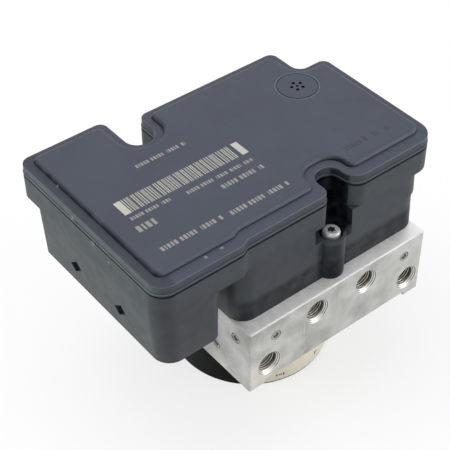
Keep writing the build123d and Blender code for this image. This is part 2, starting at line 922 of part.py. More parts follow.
def valve_cartridges():
    """A row of inlet valves and a row of outlet valves."""
    rows = (inlet_row_y, outlet_row_y)
    return group(Pos(x, row_y) * valve_cartridge() for row_y in rows for x in valve_xs)


def coil_yokes():
    """Steel cups that close the magnetic path round each coil."""
    cup = disc(yoke_radius, yoke_bottom, yoke_top)
    cup = fillet(cup.edges().group_by(Axis.Z)[-1], yoke_wall / 2)
    cup -= disc(yoke_bore, yoke_bottom, yoke_top)
    cup -= disc(yoke_radius - yoke_wall, yoke_bottom + yoke_wall, yoke_top - yoke_wall)
    for side in sides:
        cup -= coil_pin(side * coil_pin_offset, 0, yoke_top - yoke_wall, yoke_top)
    return group(Pos(x, y) * cup for x, y in valve_spots)


def coil_bobbins():
    """Flanged plastic spools inside the yokes."""
    low, high = yoke_bottom + yoke_wall, yoke_top - yoke_wall
    flange = yoke_radius - yoke_wall - press_gap
    spool = turned(
        [
            (yoke_bore, low),
            (flange, low),
            (flange, low + bobbin_wall),
            (coil_bore, low + bobbin_wall),
            (coil_bore, high - bobbin_wall),
            (flange, high - bobbin_wall),
            (flange, high),
            (yoke_bore, high),
        ]
    )
    for side in sides:
        spool -= coil_pin(side * coil_pin_offset, 0, high - bobbin_wall, high)
    return group(Pos(x, y) * spool for x, y in valve_spots)


def coil_windings():
    low = yoke_bottom + yoke_wall + bobbin_wall
    high = yoke_top - yoke_wall - bobbin_wall
    coil = disc(coil_radius, low, high) - disc(coil_bore + press_gap, low, high)
    return group(Pos(x, y) * coil for x, y in valve_spots)


def coil_terminals():
    low = yoke_top - yoke_wall - bobbin_wall
    return group(coil_pin(x, y, low, board_top) for x, y in coil_pin_spots())


# ---- pump ----------------------------------------------------------------------------------
def pump_axis(side):
    """Plane at the motor axis whose Z axis runs out along one pump."""
    return facing(0, 0, pump_z, (side, 0, 0))


def pump_plugs():
    """Pressed plugs that close the pump bores, cupped inside as damping chambers."""
    inner = block_right - pump_bore_end
    plug = disc(plug_radius, inner, inner + plug_length)
    plug = chamfer(plug.edges().group_by(Axis.Z)[-1], plug_setback)
    plug -= disc(plug_cup_radius, inner, inner + plug_cup_depth)
    return group(pump_axis(side) * plug for side in sides)


def pump_sleeves():
    end = sleeve_start + sleeve_length
    sleeve = disc(pump_bore_radius, sleeve_start, end)
    sleeve -= disc(piston_radius + slide_gap, sleeve_start, end - sleeve_end_wall)
    sleeve -= disc(sleeve_outlet_radius, end - sleeve_end_wall, end)
    return group(pump_axis(side) * sleeve for side in sides)


def pump_seals():
    """Rings that seal the pistons in front of their sleeves."""
    high = sleeve_start - seal_ring_setback
    ring = disc(pump_bore_radius, high - seal_ring_length, high)
    ring -= disc(piston_radius + slide_gap, high - seal_ring_length, high)
    return group(pump_axis(side) * ring for side in sides)


def pump_piston(side):
    piston = disc(piston_radius, piston_tip, piston_end)
    piston = chamfer(piston.edges().group_by(Axis.Z)[-1], piston_radius / 6)
    return pump_axis(side) * piston


def pump_spring(side):
    low = piston_end
    high = sleeve_start + sleeve_length - sleeve_end_wall
    radius = piston_radius - 2 * pump_spring_wire
    coil = spring(radius, pump_spring_wire, high - low, pump_spring_turns)
    return pump_axis(side) * Pos(0, 0, low) * coil


# ---- low-pressure accumulators -------------------------------------------------------------
def accumulator_axis(side):
    """Plane at the bore's inner end whose Z axis runs out of the block's back face."""
    return facing(side * accumulator_x, block_back - accumulator_depth, accumulator_z, (0, 1, 0))


def accumulator_piston(side):
    radius = accumulator_radius - slide_gap
    length = accumulator_piston_length
    piston = disc(radius, 0, length)
    piston = chamfer(piston.edges().group_by(Axis.Z)[0], slide_gap * 5)
    piston -= disc(accumulator_cup_radius, length - accumulator_cup_depth, length)
    groove_low = (length - accumulator_ring_groove) / 3
    groove_high = groove_low + accumulator_ring_groove
    groove = disc(radius, groove_low, groove_high)
    groove -= disc(radius - accumulator_ring_groove, groove_low, groove_high)
    return accumulator_axis(side) * (piston - groove)


def accumulator_oring(side):
    middle = (accumulator_piston_length - accumulator_ring_groove) / 3 + accumulator_ring_groove / 2
    centre = accumulator_radius - slide_gap - accumulator_ring_radius
    return accumulator_axis(side) * Pos(0, 0, middle) * Torus(centre, accumulator_ring_radius)


def accumulator_spring(side):
    low = accumulator_piston_length - accumulator_cup_depth
    length = accumulator_depth - accumulator_cap_thickness - plug_setback - low
    coil = spring(accumulator_coil_radius, accumulator_wire, length, accumulator_turns)
    return accumulator_axis(side) * Pos(0, 0, low) * coil


def accumulator_caps():
    thickness = accumulator_cap_thickness
    cap = disc(accumulator_cap_radius, 0, thickness)
    cap -= disc(cap_dish_radius, thickness - cap_dish_depth, thickness)
    inner = accumulator_depth - accumulator_cap_thickness - plug_setback
    return group(accumulator_axis(side) * Pos(0, 0, inner) * cap for side in sides)


# ---- motor ---------------------------------------------------------------------------------
def motor_can():
    """Deep-drawn can with an inward bush seat, an outward flange and three ears."""
    inside = motor_radius - can_wall
    flange_low = block_bottom - flange_thickness
    can = disc(motor_radius, 0, block_bottom)
    can = fillet(can.edges().group_by(Axis.Z)[0], can_edge_radius)
    can += disc(flange_radius, flange_low, block_bottom)
    for x, y in motor_screw_spots():
        can += disc(ear_radius, flange_low, block_bottom, x, y)
        can += disc(2 * ear_radius, flange_low, block_bottom, x / 2, y / 2)
    can -= disc(inside, can_wall, block_bottom)
    can += disc(bush_hub_radius, can_wall, can_wall + bush_height)
    can -= disc(bush_radius + press_gap, can_wall, can_wall + bush_height)
    can -= disc(end_recess_radius, 0, end_recess_depth) - disc(end_pad_radius, 0, end_recess_depth)
    for x, y in motor_screw_spots():
        can -= disc(ear_screw_radius + screw_hole_clearance, flange_low, block_bottom, x, y)
    return can


def rear_bush():
    bush = disc(bush_radius, can_wall, can_wall + bush_height)
    return bush - disc(tail_radius + running_gap, can_wall, can_wall + bush_height)


def end_shield():
    """Plate that closes the can, with the bearing's hub under it."""
    low = block_bottom - shield_thickness
    plate = disc(motor_radius - can_wall - press_gap, low, block_bottom)
    plate += disc(bearing_radius + hub_wall, hub_low, low)
    plate -= disc(bearing_radius + press_gap, block_bottom - bearing_width, block_bottom)
    plate -= disc(bearing_radius - bearing_ring_wall, hub_low, block_bottom)
    return plate - disc(insulator_radius + press_gap, low, block_bottom, 0, terminal_y)


def bearing_track(ball_clearance):
    """Torus swept by the bearing's balls, grown by a clearance."""
    circle = (bearing_radius + shaft_radius) / 2
    middle = block_bottom - bearing_width / 2
    return Pos(0, 0, middle) * Torus(circle, bearing_ball_radius + ball_clearance)


def bearing_outer_ring():
    low = block_bottom - bearing_width
    inner = bearing_radius - bearing_ring_wall
    ring = disc(bearing_radius, low, block_bottom) - disc(inner, low, block_bottom)
    return ring - bearing_track(bearing_track_gap)


def bearing_inner_ring():
    low = block_bottom - bearing_width
    outer = shaft_radius + bearing_ring_wall
    ring = disc(outer, low, block_bottom) - disc(shaft_radius + press_gap, low, block_bottom)
    return ring - bearing_track(running_gap * 3)


def bearing_ball_set():
    circle = (bearing_radius + shaft_radius) / 2
    middle = block_bottom - bearing_width / 2
    balls = []
    for index in range(bearing_balls):
        angle = radians(index * 360 / bearing_balls)
        spot = Pos(circle * cos(angle), circle * sin(angle), middle)
        balls.append(spot * Sphere(bearing_ball_radius))
    return group(balls)


def motor_oring():
    return Pos(0, 0, block_bottom + oring_section) * Torus(oring_radius, oring_section - press_gap)


def magnets():
    """Two curved magnets bonded inside the can."""
    inner = magnet_radius - magnet_wall
    ring = disc(magnet_radius, magnet_bottom, magnet_top) - disc(inner, magnet_bottom, magnet_top)
    reach = 2 * motor_radius
    half_width = reach * tan(radians((180 - magnet_span) / 2))
    wedge = make_face(Polyline((0, 0), (reach, -half_width), (reach, half_width), close=True))
    for turn in (0, 180):
        ring -= Rot(0, 0, turn) * prism(wedge, magnet_bottom, magnet_top)
    return group(ring.solids())


def slot_face(gap):
    """Winding slot of the armature in plan, pointing along +X, shrunk by gap."""
    outer = core_radius - slot_lip - gap
    inner = slot_inner_radius + gap
    inner_half = slot_inner_width / 2 - gap
    outer_half = slot_outer_width / 2 - gap
    low, high = [(inner, -inner_half), (outer, -outer_half)], [(outer, outer_half), (inner, inner_half)]
    return make_face(Polyline(*low, *high, close=True))


def around(face, count):
    """Copies of a flat face spread evenly round the axis."""
    return [Rot(0, 0, index * 360 / count) * face for index in range(count)]


def armature_core():
    """Laminated core with its winding slots."""
    plan = Circle(core_radius) - Circle(shaft_radius + press_gap)
    mouth = Pos(core_radius, 0) * Rectangle(3 * slot_lip, slot_mouth)
    plan -= around(slot_face(0) + mouth, slot_count)
    return prism(plan, core_bottom, core_top)


def armature_windings():
    """Copper in the slots, joined by the end turns above and below the core."""
    outer = core_radius - end_turn_inset
    upper = disc(outer, core_top, core_top + end_turn_height)
    upper = fillet(upper.edges().group_by(Axis.Z)[-1], end_turn_round)
    lower = disc(outer, core_bottom - end_turn_height, core_bottom)
    lower = fillet(lower.edges().group_by(Axis.Z)[0], end_turn_round)
    copper = upper + lower
    copper -= disc(end_turn_inner, core_bottom - end_turn_height, core_top + end_turn_height)
    for face in around(slot_face(winding_gap), slot_count):
        copper += prism(face, core_bottom, core_top)
    return copper


def commutator():
    low, high = commutator_bottom, commutator_top
    drum = disc(commutator_radius, low, high) - disc(shaft_radius + press_gap, low, high)
    depth = 2 * commutator_slot_depth
    cut = post(commutator_radius, 0, depth, commutator_slot_width, low, high)
    for index in range(commutator_slots):
        drum -= Rot(0, 0, index * 360 / commutator_slots) * cut
    return drum


def motor_shaft():
    """Stepped shaft with the eccentric that drives the pump pistons."""
    tail_low = can_wall + tail_end_gap
    shaft = disc(tail_radius, tail_low, tail_low + tail_length)
    shaft += disc(shaft_radius, tail_low + tail_length, pump_z - eccentric_width / 2)
    low, high = pump_z - eccentric_width / 2, pump_z + eccentric_width / 2
    shaft += disc(eccentric_radius, low, high, 0, eccentric_offset)
    return shaft + disc(tail_radius, high, chamber_top - shaft_nose_gap)


def eccentric_rollers():
    low, high = pump_z - eccentric_width / 2, pump_z + eccentric_width / 2
    rollers = []
    for index in range(roller_count):
        angle = radians(index * 360 / roller_count)
        x = roller_circle * cos(angle)
        y = eccentric_offset + roller_circle * sin(angle)
        rollers.append(disc(roller_radius, low, high, x, y))
    return group(rollers)


def eccentric_ring():
    low, high = pump_z - eccentric_width / 2, pump_z + eccentric_width / 2
    bore_cut = disc(ring_bore, low, high, 0, eccentric_offset)
    return disc(ring_radius, low, high, 0, eccentric_offset) - bore_cut


def brush_holder():
    """Plastic plate round the bearing's hub, with two brush boxes under it."""
    hub = bearing_radius + hub_wall + press_gap
    plate_low = holder_top - holder_plate
    plate = disc(holder_radius, plate_low, holder_top) - disc(hub, plate_low, holder_top)
    low = holder_middle() - brush_height / 2 - box_wall
    start = commutator_radius + 3 * brush_gap
    half = brush_width / 2
    for side in sides:
        near, far = sorted((side * start, side * (start + box_length)))
        plate += brick(near, far, -half - box_wall, half + box_wall, low, plate_low)
    for side in sides:
        near, far = sorted((side * start, side * (start + box_length - box_wall)))
        plate -= brick(near, far, -half, half, low + box_wall, low + box_wall + brush_height)
    plate -= disc(hub, hub_low - loose_gap, holder_top)
    return plate - disc(insulator_radius + press_gap, plate_low, holder_top, 0, terminal_y)


def holder_middle():
    """Height of the brushes' middle, that of the commutator."""
    return (commutator_bottom + commutator_top) / 2


def brushes():
    start = commutator_radius + brush_gap
    low = holder_middle() - brush_height / 2
    pieces = []
    for side in sides:
        near, far = sorted((side * start, side * (start + brush_length)))
        half = brush_width / 2
        pieces.append(brick(near, far, -half, half, low, low + brush_height))
    return group(pieces)


def brush_springs():
    start = commutator_radius + brush_gap + brush_length
    end = commutator_radius + 3 * brush_gap + box_length - box_wall
    coil = spring(brush_spring_radius, brush_wire, end - start, brush_spring_turns)
    middle = holder_middle()
    return group(facing(side * start, 0, middle, (side, 0, 0)) * coil for side in sides)


def motor_screws():
    """Socket-head screws through the can's ears."""
    seat = block_bottom - flange_thickness
    screw = disc(ear_screw_head_radius, seat - ear_screw_head_height, seat)
    screw = chamfer(screw.edges().group_by(Axis.Z)[0], ear_screw_head_height / 6)
    socket = RegularPolygon(ear_screw_socket, 6)
    screw -= prism(socket, seat - ear_screw_head_height, seat - ear_screw_head_height / 3)
    screw += disc(ear_screw_radius, seat, block_bottom + ear_screw_depth - ear_screw_radius / 2)
    return group(Pos(x, y) * screw for x, y in motor_screw_spots())


def motor_terminals():
    return group(motor_blade(side, holder_top - holder_plate, board_top) for side in sides)


def terminal_insulator():
    """Plastic sleeve that carries the motor's blades through the block."""
    high = block_top + insulator_collar
    sleeve = disc(insulator_radius, holder_top - holder_plate, high, 0, terminal_y)
    sleeve += disc(insulator_radius + insulator_collar, block_top, high, 0, terminal_y)
    for side in sides:
        sleeve -= motor_blade(side, holder_top - holder_plate, high)
    return sleeve


def motor_label():
    """Thin sheet wrapped round part of the can."""
    inner = motor_radius + press_gap
    sheet = disc(inner + label_thickness, label_bottom, label_top)
    sheet -= disc(inner, label_bottom, label_top)
    reach = 2 * motor_radius
    corners = [(0, 0)]
    for step in range(4):
        angle = radians(label_start + (label_end - label_start) * step / 3)
        corners.append((reach * cos(angle), reach * sin(angle)))
    return sheet & prism(make_face(Polyline(*corners, close=True)), label_bottom, label_top)


# ---- write every piece ---------------------------------------------------------------------
parts = {
    "hydraulic_block": hydraulic_block(),
    "gallery_plugs": gallery_plugs(),
    "ecu_housing": ecu_housing(),
    "coil_housing": coil_housing(),
    "connector_shroud": connector_shroud(),
    "ecu_cover": ecu_cover(),
    "housing_seal": housing_seal(),
    "vent_membrane": vent_membrane(),
    "housing_screws": housing_screws_group(),
    "circuit_board": circuit_board(),
    "board_components": board_components(),
    "connector_pins": connector_pins(),
    "valve_cartridges": valve_cartridges(),
    "coil_yokes": coil_yokes(),
    "coil_bobbins": coil_bobbins(),
    "coil_windings": coil_windings(),
    "coil_terminals": coil_terminals(),
    "pump_plugs": pump_plugs(),
    "pump_sleeves": pump_sleeves(),
    "pump_seals": pump_seals(),
    "accumulator_caps": accumulator_caps(),
    "motor_can": motor_can(),
    "rear_bush": rear_bush(),
    "end_shield": end_shield(),
    "bearing_outer_ring": bearing_outer_ring(),
    "bearing_inner_ring": bearing_inner_ring(),
    "bearing_balls": bearing_ball_set(),
    "motor_oring": motor_oring(),
    "magnets": magnets(),
    "armature_core": armature_core(),
    "armature_windings": armature_windings(),
    "commutator": commutator(),
    "motor_shaft": motor_shaft(),
    "eccentric_rollers": eccentric_rollers(),
    "eccentric_ring": eccentric_ring(),
    "brush_holder": brush_holder(),
    "brushes": brushes(),
    "brush_springs": brush_springs(),
    "motor_screws": motor_screws(),
    "motor_terminals": motor_terminals(),
    "terminal_insulator": terminal_insulator(),
    "motor_label": motor_label(),
}
for side, hand in zip(sides, ("left", "right")):
    parts[f"pump_piston_{hand}"] = pump_piston(side)
    parts[f"pump_spring_{hand}"] = pump_spring(side)
    parts[f"accumulator_piston_{hand}"] = accumulator_piston(side)
    parts[f"accumulator_oring_{hand}"] = accumulator_oring(side)
    parts[f"accumulator_spring_{hand}"] = accumulator_spring(side)
for number, x in enumerate(valve_xs, 1):
    parts[f"inlet_plunger_{number}"] = Pos(x, inlet_row_y) * plunger(inlet_plunger_lift)
    parts[f"outlet_plunger_{number}"] = Pos(x, outlet_row_y) * plunger(valve_travel / 2)

os.makedirs("parts", exist_ok=True)
for name, part in parts.items():
    export_step(part, os.path.join("parts", name + ".step"))
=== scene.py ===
import json
from collections import namedtuple
from math import cos, pi, radians, sin, sqrt

import bpy
from mathutils import Matrix, Vector


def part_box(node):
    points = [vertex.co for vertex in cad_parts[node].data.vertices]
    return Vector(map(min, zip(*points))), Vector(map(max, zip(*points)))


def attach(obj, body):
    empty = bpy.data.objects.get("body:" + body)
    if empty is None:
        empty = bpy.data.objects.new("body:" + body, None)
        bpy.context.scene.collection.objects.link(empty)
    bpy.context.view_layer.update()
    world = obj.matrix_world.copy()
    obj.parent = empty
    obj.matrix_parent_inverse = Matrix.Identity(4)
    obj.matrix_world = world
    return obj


# The visual model of an anti-lock brake module, in metres, in the frame of its solid model: the
# origin is in the motor's end face, +Z runs up the motor axis and -Y is the brake-line port face.
# Sizes and places on the object are written in mm in that frame, and MM turns them into metres.
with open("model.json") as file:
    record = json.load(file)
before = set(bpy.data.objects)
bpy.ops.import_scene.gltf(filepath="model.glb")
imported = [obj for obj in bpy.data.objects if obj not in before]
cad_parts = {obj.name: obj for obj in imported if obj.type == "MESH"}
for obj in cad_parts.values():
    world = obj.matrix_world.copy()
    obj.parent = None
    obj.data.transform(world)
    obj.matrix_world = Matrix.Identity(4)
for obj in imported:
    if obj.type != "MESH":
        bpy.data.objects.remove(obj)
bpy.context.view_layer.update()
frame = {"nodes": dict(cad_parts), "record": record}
NODES = frame["nodes"]
MM = 0.001

# ---- camera and studio, in metres and degrees ------------------------------------------------
CAMERA_AZIMUTH, CAMERA_ELEVATION, CAMERA_ROLL = -38.202, 42.671, -0.583
CAMERA_PLACE = Vector((-0.23844, -0.28555, 0.40579))
CAMERA_LENS, CAMERA_SENSOR = 94.74, 36.0  # mm
CAMERA_CLIP = (0.01, 20.0)
FLOOR_SIZE = 14.0
FLOOR_DARK, FLOOR_PALE = (0.84, 0.84, 0.84, 1), (0.88, 0.88, 0.88, 1)
FLOOR_CLOUDS = 300.0  # mm
FLOOR_WHITE = 0.72  # how far the camera sees the floor as the background
HORIZON_LIGHT, OVERHEAD_LIGHT = 0.12, 1.0
BACKGROUND = 1.0  # what the camera and reflections see beyond the object
LAMP_SIZE = 0.9
LAMPS = (  # name, place and power in watts; all of them aim at the object
    ("left", (-1.1, 0.75, 0.7), 8.5),
    ("front", (1.1, -1.15, 0.6), 9.0),
    ("top", (-0.1, 0.2, 1.5), 6.0),
)
LAMP_AIM = (0.0, 0.0, 0.07)

# ---- places on the object --------------------------------------------------------------------
FOOT_Z, BLOCK_TOP = 0.0, 73.0
SEAM_Z, LIP_Z, RIM_Z, CROWN_Z = 110.9, 111.8, 115.4, 117.4
VENT_X, VENT_Y, VENT_RADIUS = 30.8, 7.6, 8.9
SCREW_X, SCREW_Y = 1.0, -47.7
DRIVE_RADIUS, DRIVE_Z = 2.0, 94.0  # the screw's drive recess and its lower end
WIDE = 200.0  # beyond every side
EDGE_WIDTH = 0.55  # worn band along the block's edges

# ---- threaded holes --------------------------------------------------------------------------
THREAD_DEPTH, THREAD_PITCH = 0.55, 1.0
THREAD_FOOT, THREAD_CREST = 0.9, 0.14  # widths of the ridge, as parts of the pitch
THREAD_SUNK = 0.02  # how far the ridge's foot is sunk in the wall
THREAD_STEPS = 40  # sections in one turn
HOLE_RUN = 9.0  # how far a hole may run on behind its threaded wall
COUNTERSINK_RUN = 2.0  # more than the countersink's depth, before the threaded wall
# the bright rim is a painted highlight on the countersink
COUNTERSINK_SPREAD = 1.3  # radius of its bright rim, as a part of the wall's
RIM_INSET, MOUTH_GAP = 0.15, 0.02  # the bright rim starts this far out from the wall and its mouth
# the thread turns on the countersink are painted shade
COUNTERSINK_TURNS = (0.35, 0.95)  # how far outside the wall the last thread turns show
TURN_WIDTH = 0.22
WALL_SKIN = 0.1  # a hole's wall counts as part of the hole up to here

# ---- print and labels ------------------------------------------------------------------------
PRINT_LIFT, PRINT_THICKNESS = 0.01, 0.02
BARCODE_START, BARCODE_END, BARCODE_LOW, BARCODE_HIGH = -69.9, -11.9, -13.0, -5.0
BAR_END_BLOCK = 2.9
BAR_UNIT = 0.44
BAR_WIDTHS = (1, 1, 3, 1, 1, 2, 1, 4, 1, 1, 2, 1, 1)  # in units, by turns
BAR_GAPS = (1.4, 0.8, 2.2, 1, 1.6, 0.8, 1.4, 1)  # in units, by turns
BRIGHT_WIDTH = 1  # bars up to this many units wide are bright, wider ones are dim
MARK_ROWS = (  # left end, right end, middle y, mark height
    (-51.0, -27.5, 7.0, 1.9),
    (-69.5, -51.5, -15.9, 1.8),
    (-45.0, -13.5, -17.2, 1.8),
    (-71.0, -60.5, -22.0, 3.4),
    (-32.8, -11.5, -22.8, 2.3),
    (-70.4, -42.5, -35.6, 2.3),
    (-39.4, -12.0, -36.2, 2.3),
)
MOULDED_ROWS = ((18.0, 29.5, -35.2, 2.6), (32.5, 37.0, -35.4, 2.6), (38.5, 43.0, -35.8, 2.6))
MARK_WIDTHS = (0.5, 0.26, 0.5, 0.38, 0.5, 0.14, 0.44)  # by turns, as parts of the height
MARK_GAP = 0.24  # as a part of the height
WORD_BREAK = 6  # every sixth mark is left out
LABEL_MARKS = (  # start and end angle, low and high z, on the motor's label
    (-110.6, -109.4, 3.9, 5.1),
    (-108.6, -106.2, 4.1, 4.9),
    (-105.4, -104.2, 3.7, 5.2),
    (-76.4, -75.2, 4.6, 6.4),
    (-74.6, -73.8, 5.2, 6.6),
)


# ---- colours ---------------------------------------------------------------------------------
def srgb(red, green, blue):
    """Linear colour from 0 to 255 display values."""
    def linear(value):
        value /= 255
        return value / 12.92 if value <= 0.04045 else ((value + 0.055) / 1.055) ** 2.4
    return (linear(red), linear(green), linear(blue), 1.0)


def darker(colour, part):
    return [value * part for value in colour[:3]] + [1.0]


ALUMINIUM_DARK, ALUMINIUM_PALE = srgb(160, 160, 156), srgb(200, 200, 197)
STAIN, SCUFF, NICK = srgb(134, 130, 120), srgb(216, 216, 212), srgb(118, 116, 110)
# on the next line, the chamfer grey is painted shade and the top white is painted light
WORN_EDGE, BEVEL_PAINTED_SHADE, TOP_PAINTED_LIGHT = srgb(236, 236, 232), srgb(120, 118, 112), srgb(253, 253, 251)
# painted highlights for the block's front face
WARM_PAINTED_HIGHLIGHT, COOL_PAINTED_HIGHLIGHT = srgb(246, 238, 226), srgb(232, 232, 228)
# the hole rim colour is a painted highlight and the hole turn colour is painted shade
HOLE_BROWN, HOLE_RIM_HIGHLIGHT, HOLE_TURN_SHADE = srgb(112, 106, 88), srgb(240, 240, 236), srgb(70, 64, 52)
THREAD_PALE, THREAD_DULL, THREAD_ROOT = srgb(214, 211, 200), srgb(172, 164, 144), srgb(58, 51, 38)
ZINC_DARK, ZINC_PALE = srgb(160, 162, 162), srgb(200, 202, 202)
# the drive colour is painted shade
PLUG_BROWN, DRIVE_SHADE = srgb(128, 118, 98), srgb(40, 42, 42)
# the cover's pale colour serves for real nicks and dust and for painted highlights
COVER_COLOUR, COVER_WEAR_AND_HIGHLIGHT = srgb(60, 65, 79), srgb(128, 134, 142)
HOUSING_COLOUR, HOUSING_EDGE = srgb(54, 61, 67), srgb(112, 118, 118)
# painted light for left-facing walls, painted shade, and deeper painted shade
PAINTED_LEFT_LIGHT, SHADE, DEEP_PAINTED_SHADE = srgb(68, 81, 79), srgb(30, 35, 44), srgb(10, 13, 17)
PAINT_DARK, PAINT_PALE, PAINT_DUST = srgb(1, 2, 3), srgb(5, 8, 10), srgb(50, 54, 54)
COPPER_DARK, COPPER_PALE = srgb(120, 58, 30), srgb(206, 122, 70)
BOARD_GREEN, TRACK_GREEN = srgb(18, 74, 44), srgb(38, 108, 66)
FILM_DARK, FILM_PALE = srgb(196, 196, 190), srgb(226, 226, 222)
LABEL_DARK, LABEL_PALE, LABEL_STAIN = srgb(222, 214, 192), srgb(240, 234, 216), srgb(190, 176, 146)
WORN_PRINT = srgb(96, 98, 104)
TURNED_METALS = (  # name, colour, roughness and width of the turning marks
    ("plug_aluminium", srgb(200, 200, 198), 0.35, 0.35),
    ("bright_steel", srgb(214, 214, 214), 0.16, 0.35),
    ("valve_steel", srgb(176, 178, 180), 0.3, 0.35),
    ("spring_steel", srgb(140, 140, 142), 0.35, 0.35),
    ("core_steel", srgb(96, 96, 100), 0.45, 0.5),
    ("tinned_brass", srgb(206, 200, 178), 0.28, 0.35),
    ("sintered_bronze", srgb(164, 132, 84), 0.5, 0.35),
)
PLAIN_MOULDINGS = (  # name, colour and roughness
    ("bobbin_plastic", srgb(150, 146, 134), 0.5),
    ("chip_plastic", srgb(38, 38, 40), 0.5),
    ("seal_rubber", srgb(30, 30, 31), 0.62),
    ("carbon", srgb(44, 44, 46), 0.4),
    ("ferrite", srgb(62, 62, 66), 0.55),
    ("moulded_mark", srgb(44, 48, 58), 0.5),
)
INKS = (
    ("cover_ink", srgb(186, 184, 174)),
    ("bright_ink", srgb(176, 174, 166)),
    ("dim_ink", srgb(140, 138, 134)),
    ("label_ink", srgb(60, 54, 44)),
)

# ---- painted shade, painted light and painted highlights on surfaces -------------------------
FRONT, LEFT, UP = (0, -1, 0), (-1, 0, 0), (0, 0, 1)
CORNER = (-sqrt(0.5), -sqrt(0.5), 0)  # between front and left
BEVEL = (0, -sqrt(0.5), sqrt(0.5))  # between front and top
CRISP = 0.1  # softness of an edge that looks sharp

# Low and high corner, softness of the edge, direction that the surface faces, amount and colour.
# A facing of None takes in surfaces of every direction.
Patch = namedtuple("Patch", "corners soft facing amount colour")


def slab(low, high):
    """Corners of a level slab that takes in the whole plan."""
    return (-WIDE, -WIDE, low), (WIDE, WIDE, high)


# painted highlights: a warm pale patch low on the left of the front face and a cool one on its right
BLOCK_PAINTED_HIGHLIGHTS = (
    Patch(((-50.0, -60.0, 36.0), (-37.0, -50.0, 52.0)), 6.0, FRONT, 0.4, WARM_PAINTED_HIGHLIGHT),
    Patch(((28.0, -60.0, 36.0), (50.0, -50.0, 76.0)), 9.0, FRONT, 0.25, COOL_PAINTED_HIGHLIGHT),
)
COVER_PAINTED_LIGHT_AND_SHADE = (
    # painted light on the rim's left walls, painted shade on its front walls and in the screw notch,
    # and painted highlights on the lip and the rim's top edge
    Patch(slab(SEAM_Z - 0.1, RIM_Z + 0.05), CRISP, LEFT, 0.9, PAINTED_LEFT_LIGHT),
    Patch(slab(SEAM_Z, RIM_Z - 0.6), CRISP, FRONT, 0.45, SHADE),
    Patch(((-2.2, -52.0, SEAM_Z - 0.5), (10.6, -38.0, RIM_Z - 1.2)), 0.7, None, 0.95, DEEP_PAINTED_SHADE),
    Patch(slab(LIP_Z - 0.2, LIP_Z + 0.05), CRISP, None, 0.35, COVER_WEAR_AND_HIGHLIGHT),
    Patch(slab(RIM_Z - 0.5, RIM_Z - 0.1), CRISP, FRONT, 0.3, COVER_WEAR_AND_HIGHLIGHT),
    # painted shade on the ledge's left end and on the crown's left wall and foot, a painted highlight
    # on the crown's upper edge, and painted shade in the vent holes
    Patch(((-85.0, -52.0, RIM_Z - 0.3), (-75.5, 45.0, RIM_Z + 0.3)), 0.4, UP, 0.65, SHADE),
    Patch(slab(RIM_Z + 0.05, CROWN_Z - 0.1), CRISP, LEFT, 0.8, DEEP_PAINTED_SHADE),
    Patch(slab(RIM_Z + 0.15, RIM_Z + 0.45), CRISP, None, 0.55, DEEP_PAINTED_SHADE),
    Patch(slab(RIM_Z + 0.9, CROWN_Z - 0.15), CRISP, FRONT, 0.15, COVER_WEAR_AND_HIGHLIGHT),
    Patch(((25.0, 2.0, SEAM_Z), (36.0, 13.0, CROWN_Z - 0.15)), CRISP, None, 0.9, DEEP_PAINTED_SHADE),
)
HOUSING_PAINTED_LIGHT_AND_SHADE = (
    # painted shade along the seam, painted light on the left walls and painted shade in the corner
    # between left and front
    Patch(slab(SEAM_Z - 0.95, SEAM_Z), CRISP, FRONT, 1.0, DEEP_PAINTED_SHADE),
    Patch(slab(BLOCK_TOP - 1.0, SEAM_Z), CRISP, LEFT, 0.7, PAINTED_LEFT_LIGHT),
    Patch(slab(BLOCK_TOP - 1.0, SEAM_Z), CRISP, CORNER, 0.5, SHADE),
    # painted shade on the front walls left of the screw, their foot over the block and the shroud's
    # corner
    Patch(((-90.0, -60.0, 84.0), (5.0, -40.0, 100.0)), 5.0, FRONT, 0.5, SHADE),
    Patch(((-46.0, -WIDE, BLOCK_TOP - 1.0), (WIDE, WIDE, 81.0)), 3.0, FRONT, 0.6, DEEP_PAINTED_SHADE),
    Patch(((-84.0, -52.0, 66.0), (-77.0, -44.0, SEAM_Z)), 2.0, None, 0.35, SHADE),
    # painted shade on the screw boss, in the notch above it and in the pocket beside it
    Patch(((-6.5, -56.0, BLOCK_TOP - 1.0), (7.5, -43.0, 90.5)), 1.0, CORNER, 0.55, DEEP_PAINTED_SHADE),
    Patch(((-2.2, -50.3, 88.0), (10.4, -34.0, 112.0)), 0.4, None, 1.0, DEEP_PAINTED_SHADE),
    Patch(((-7.9, -50.5, 92.7), (7.5, -44.0, 98.0)), 0.3, None, 0.9, DEEP_PAINTED_SHADE),
)
# a painted highlight ring round the vent
COVER_HIGHLIGHT_RINGS = ((VENT_X, VENT_Y, VENT_RADIUS, VENT_RADIUS + 0.4),)  # x, y, inner and outer radius
HOUSING_NICKS = (((-83.1, -10.2, 109.5), 1.0), ((-83.0, -20.0, 107.0), 0.7))  # place and radius
COVER_NICKS = (
    ((-59.3, -46.8, RIM_Z), 0.7),
    ((-51.9, -46.6, RIM_Z), 0.6),
    ((-78.9, 18.4, RIM_Z), 0.6),
    ((-83.2, 3.0, 112.5), 1.0),
)


# ---- threaded mounts -------------------------------------------------------------------------
def threaded_mounts():
    return [mount for mount in frame["record"]["mounts"] if mount["kind"] == "threaded_hole"]


def wall_of(mount):
    """Radius and length of a mount's wall."""
    return mount["dims"]["r_mm"], mount["dims"]["length_mm"]


def mouth_of(mount):
    """Where a mount's wall begins."""
    length = mount["dims"]["length_mm"]
    return Vector(mount["pos_m"]) / MM + Vector(mount["axis"]) * length / 2


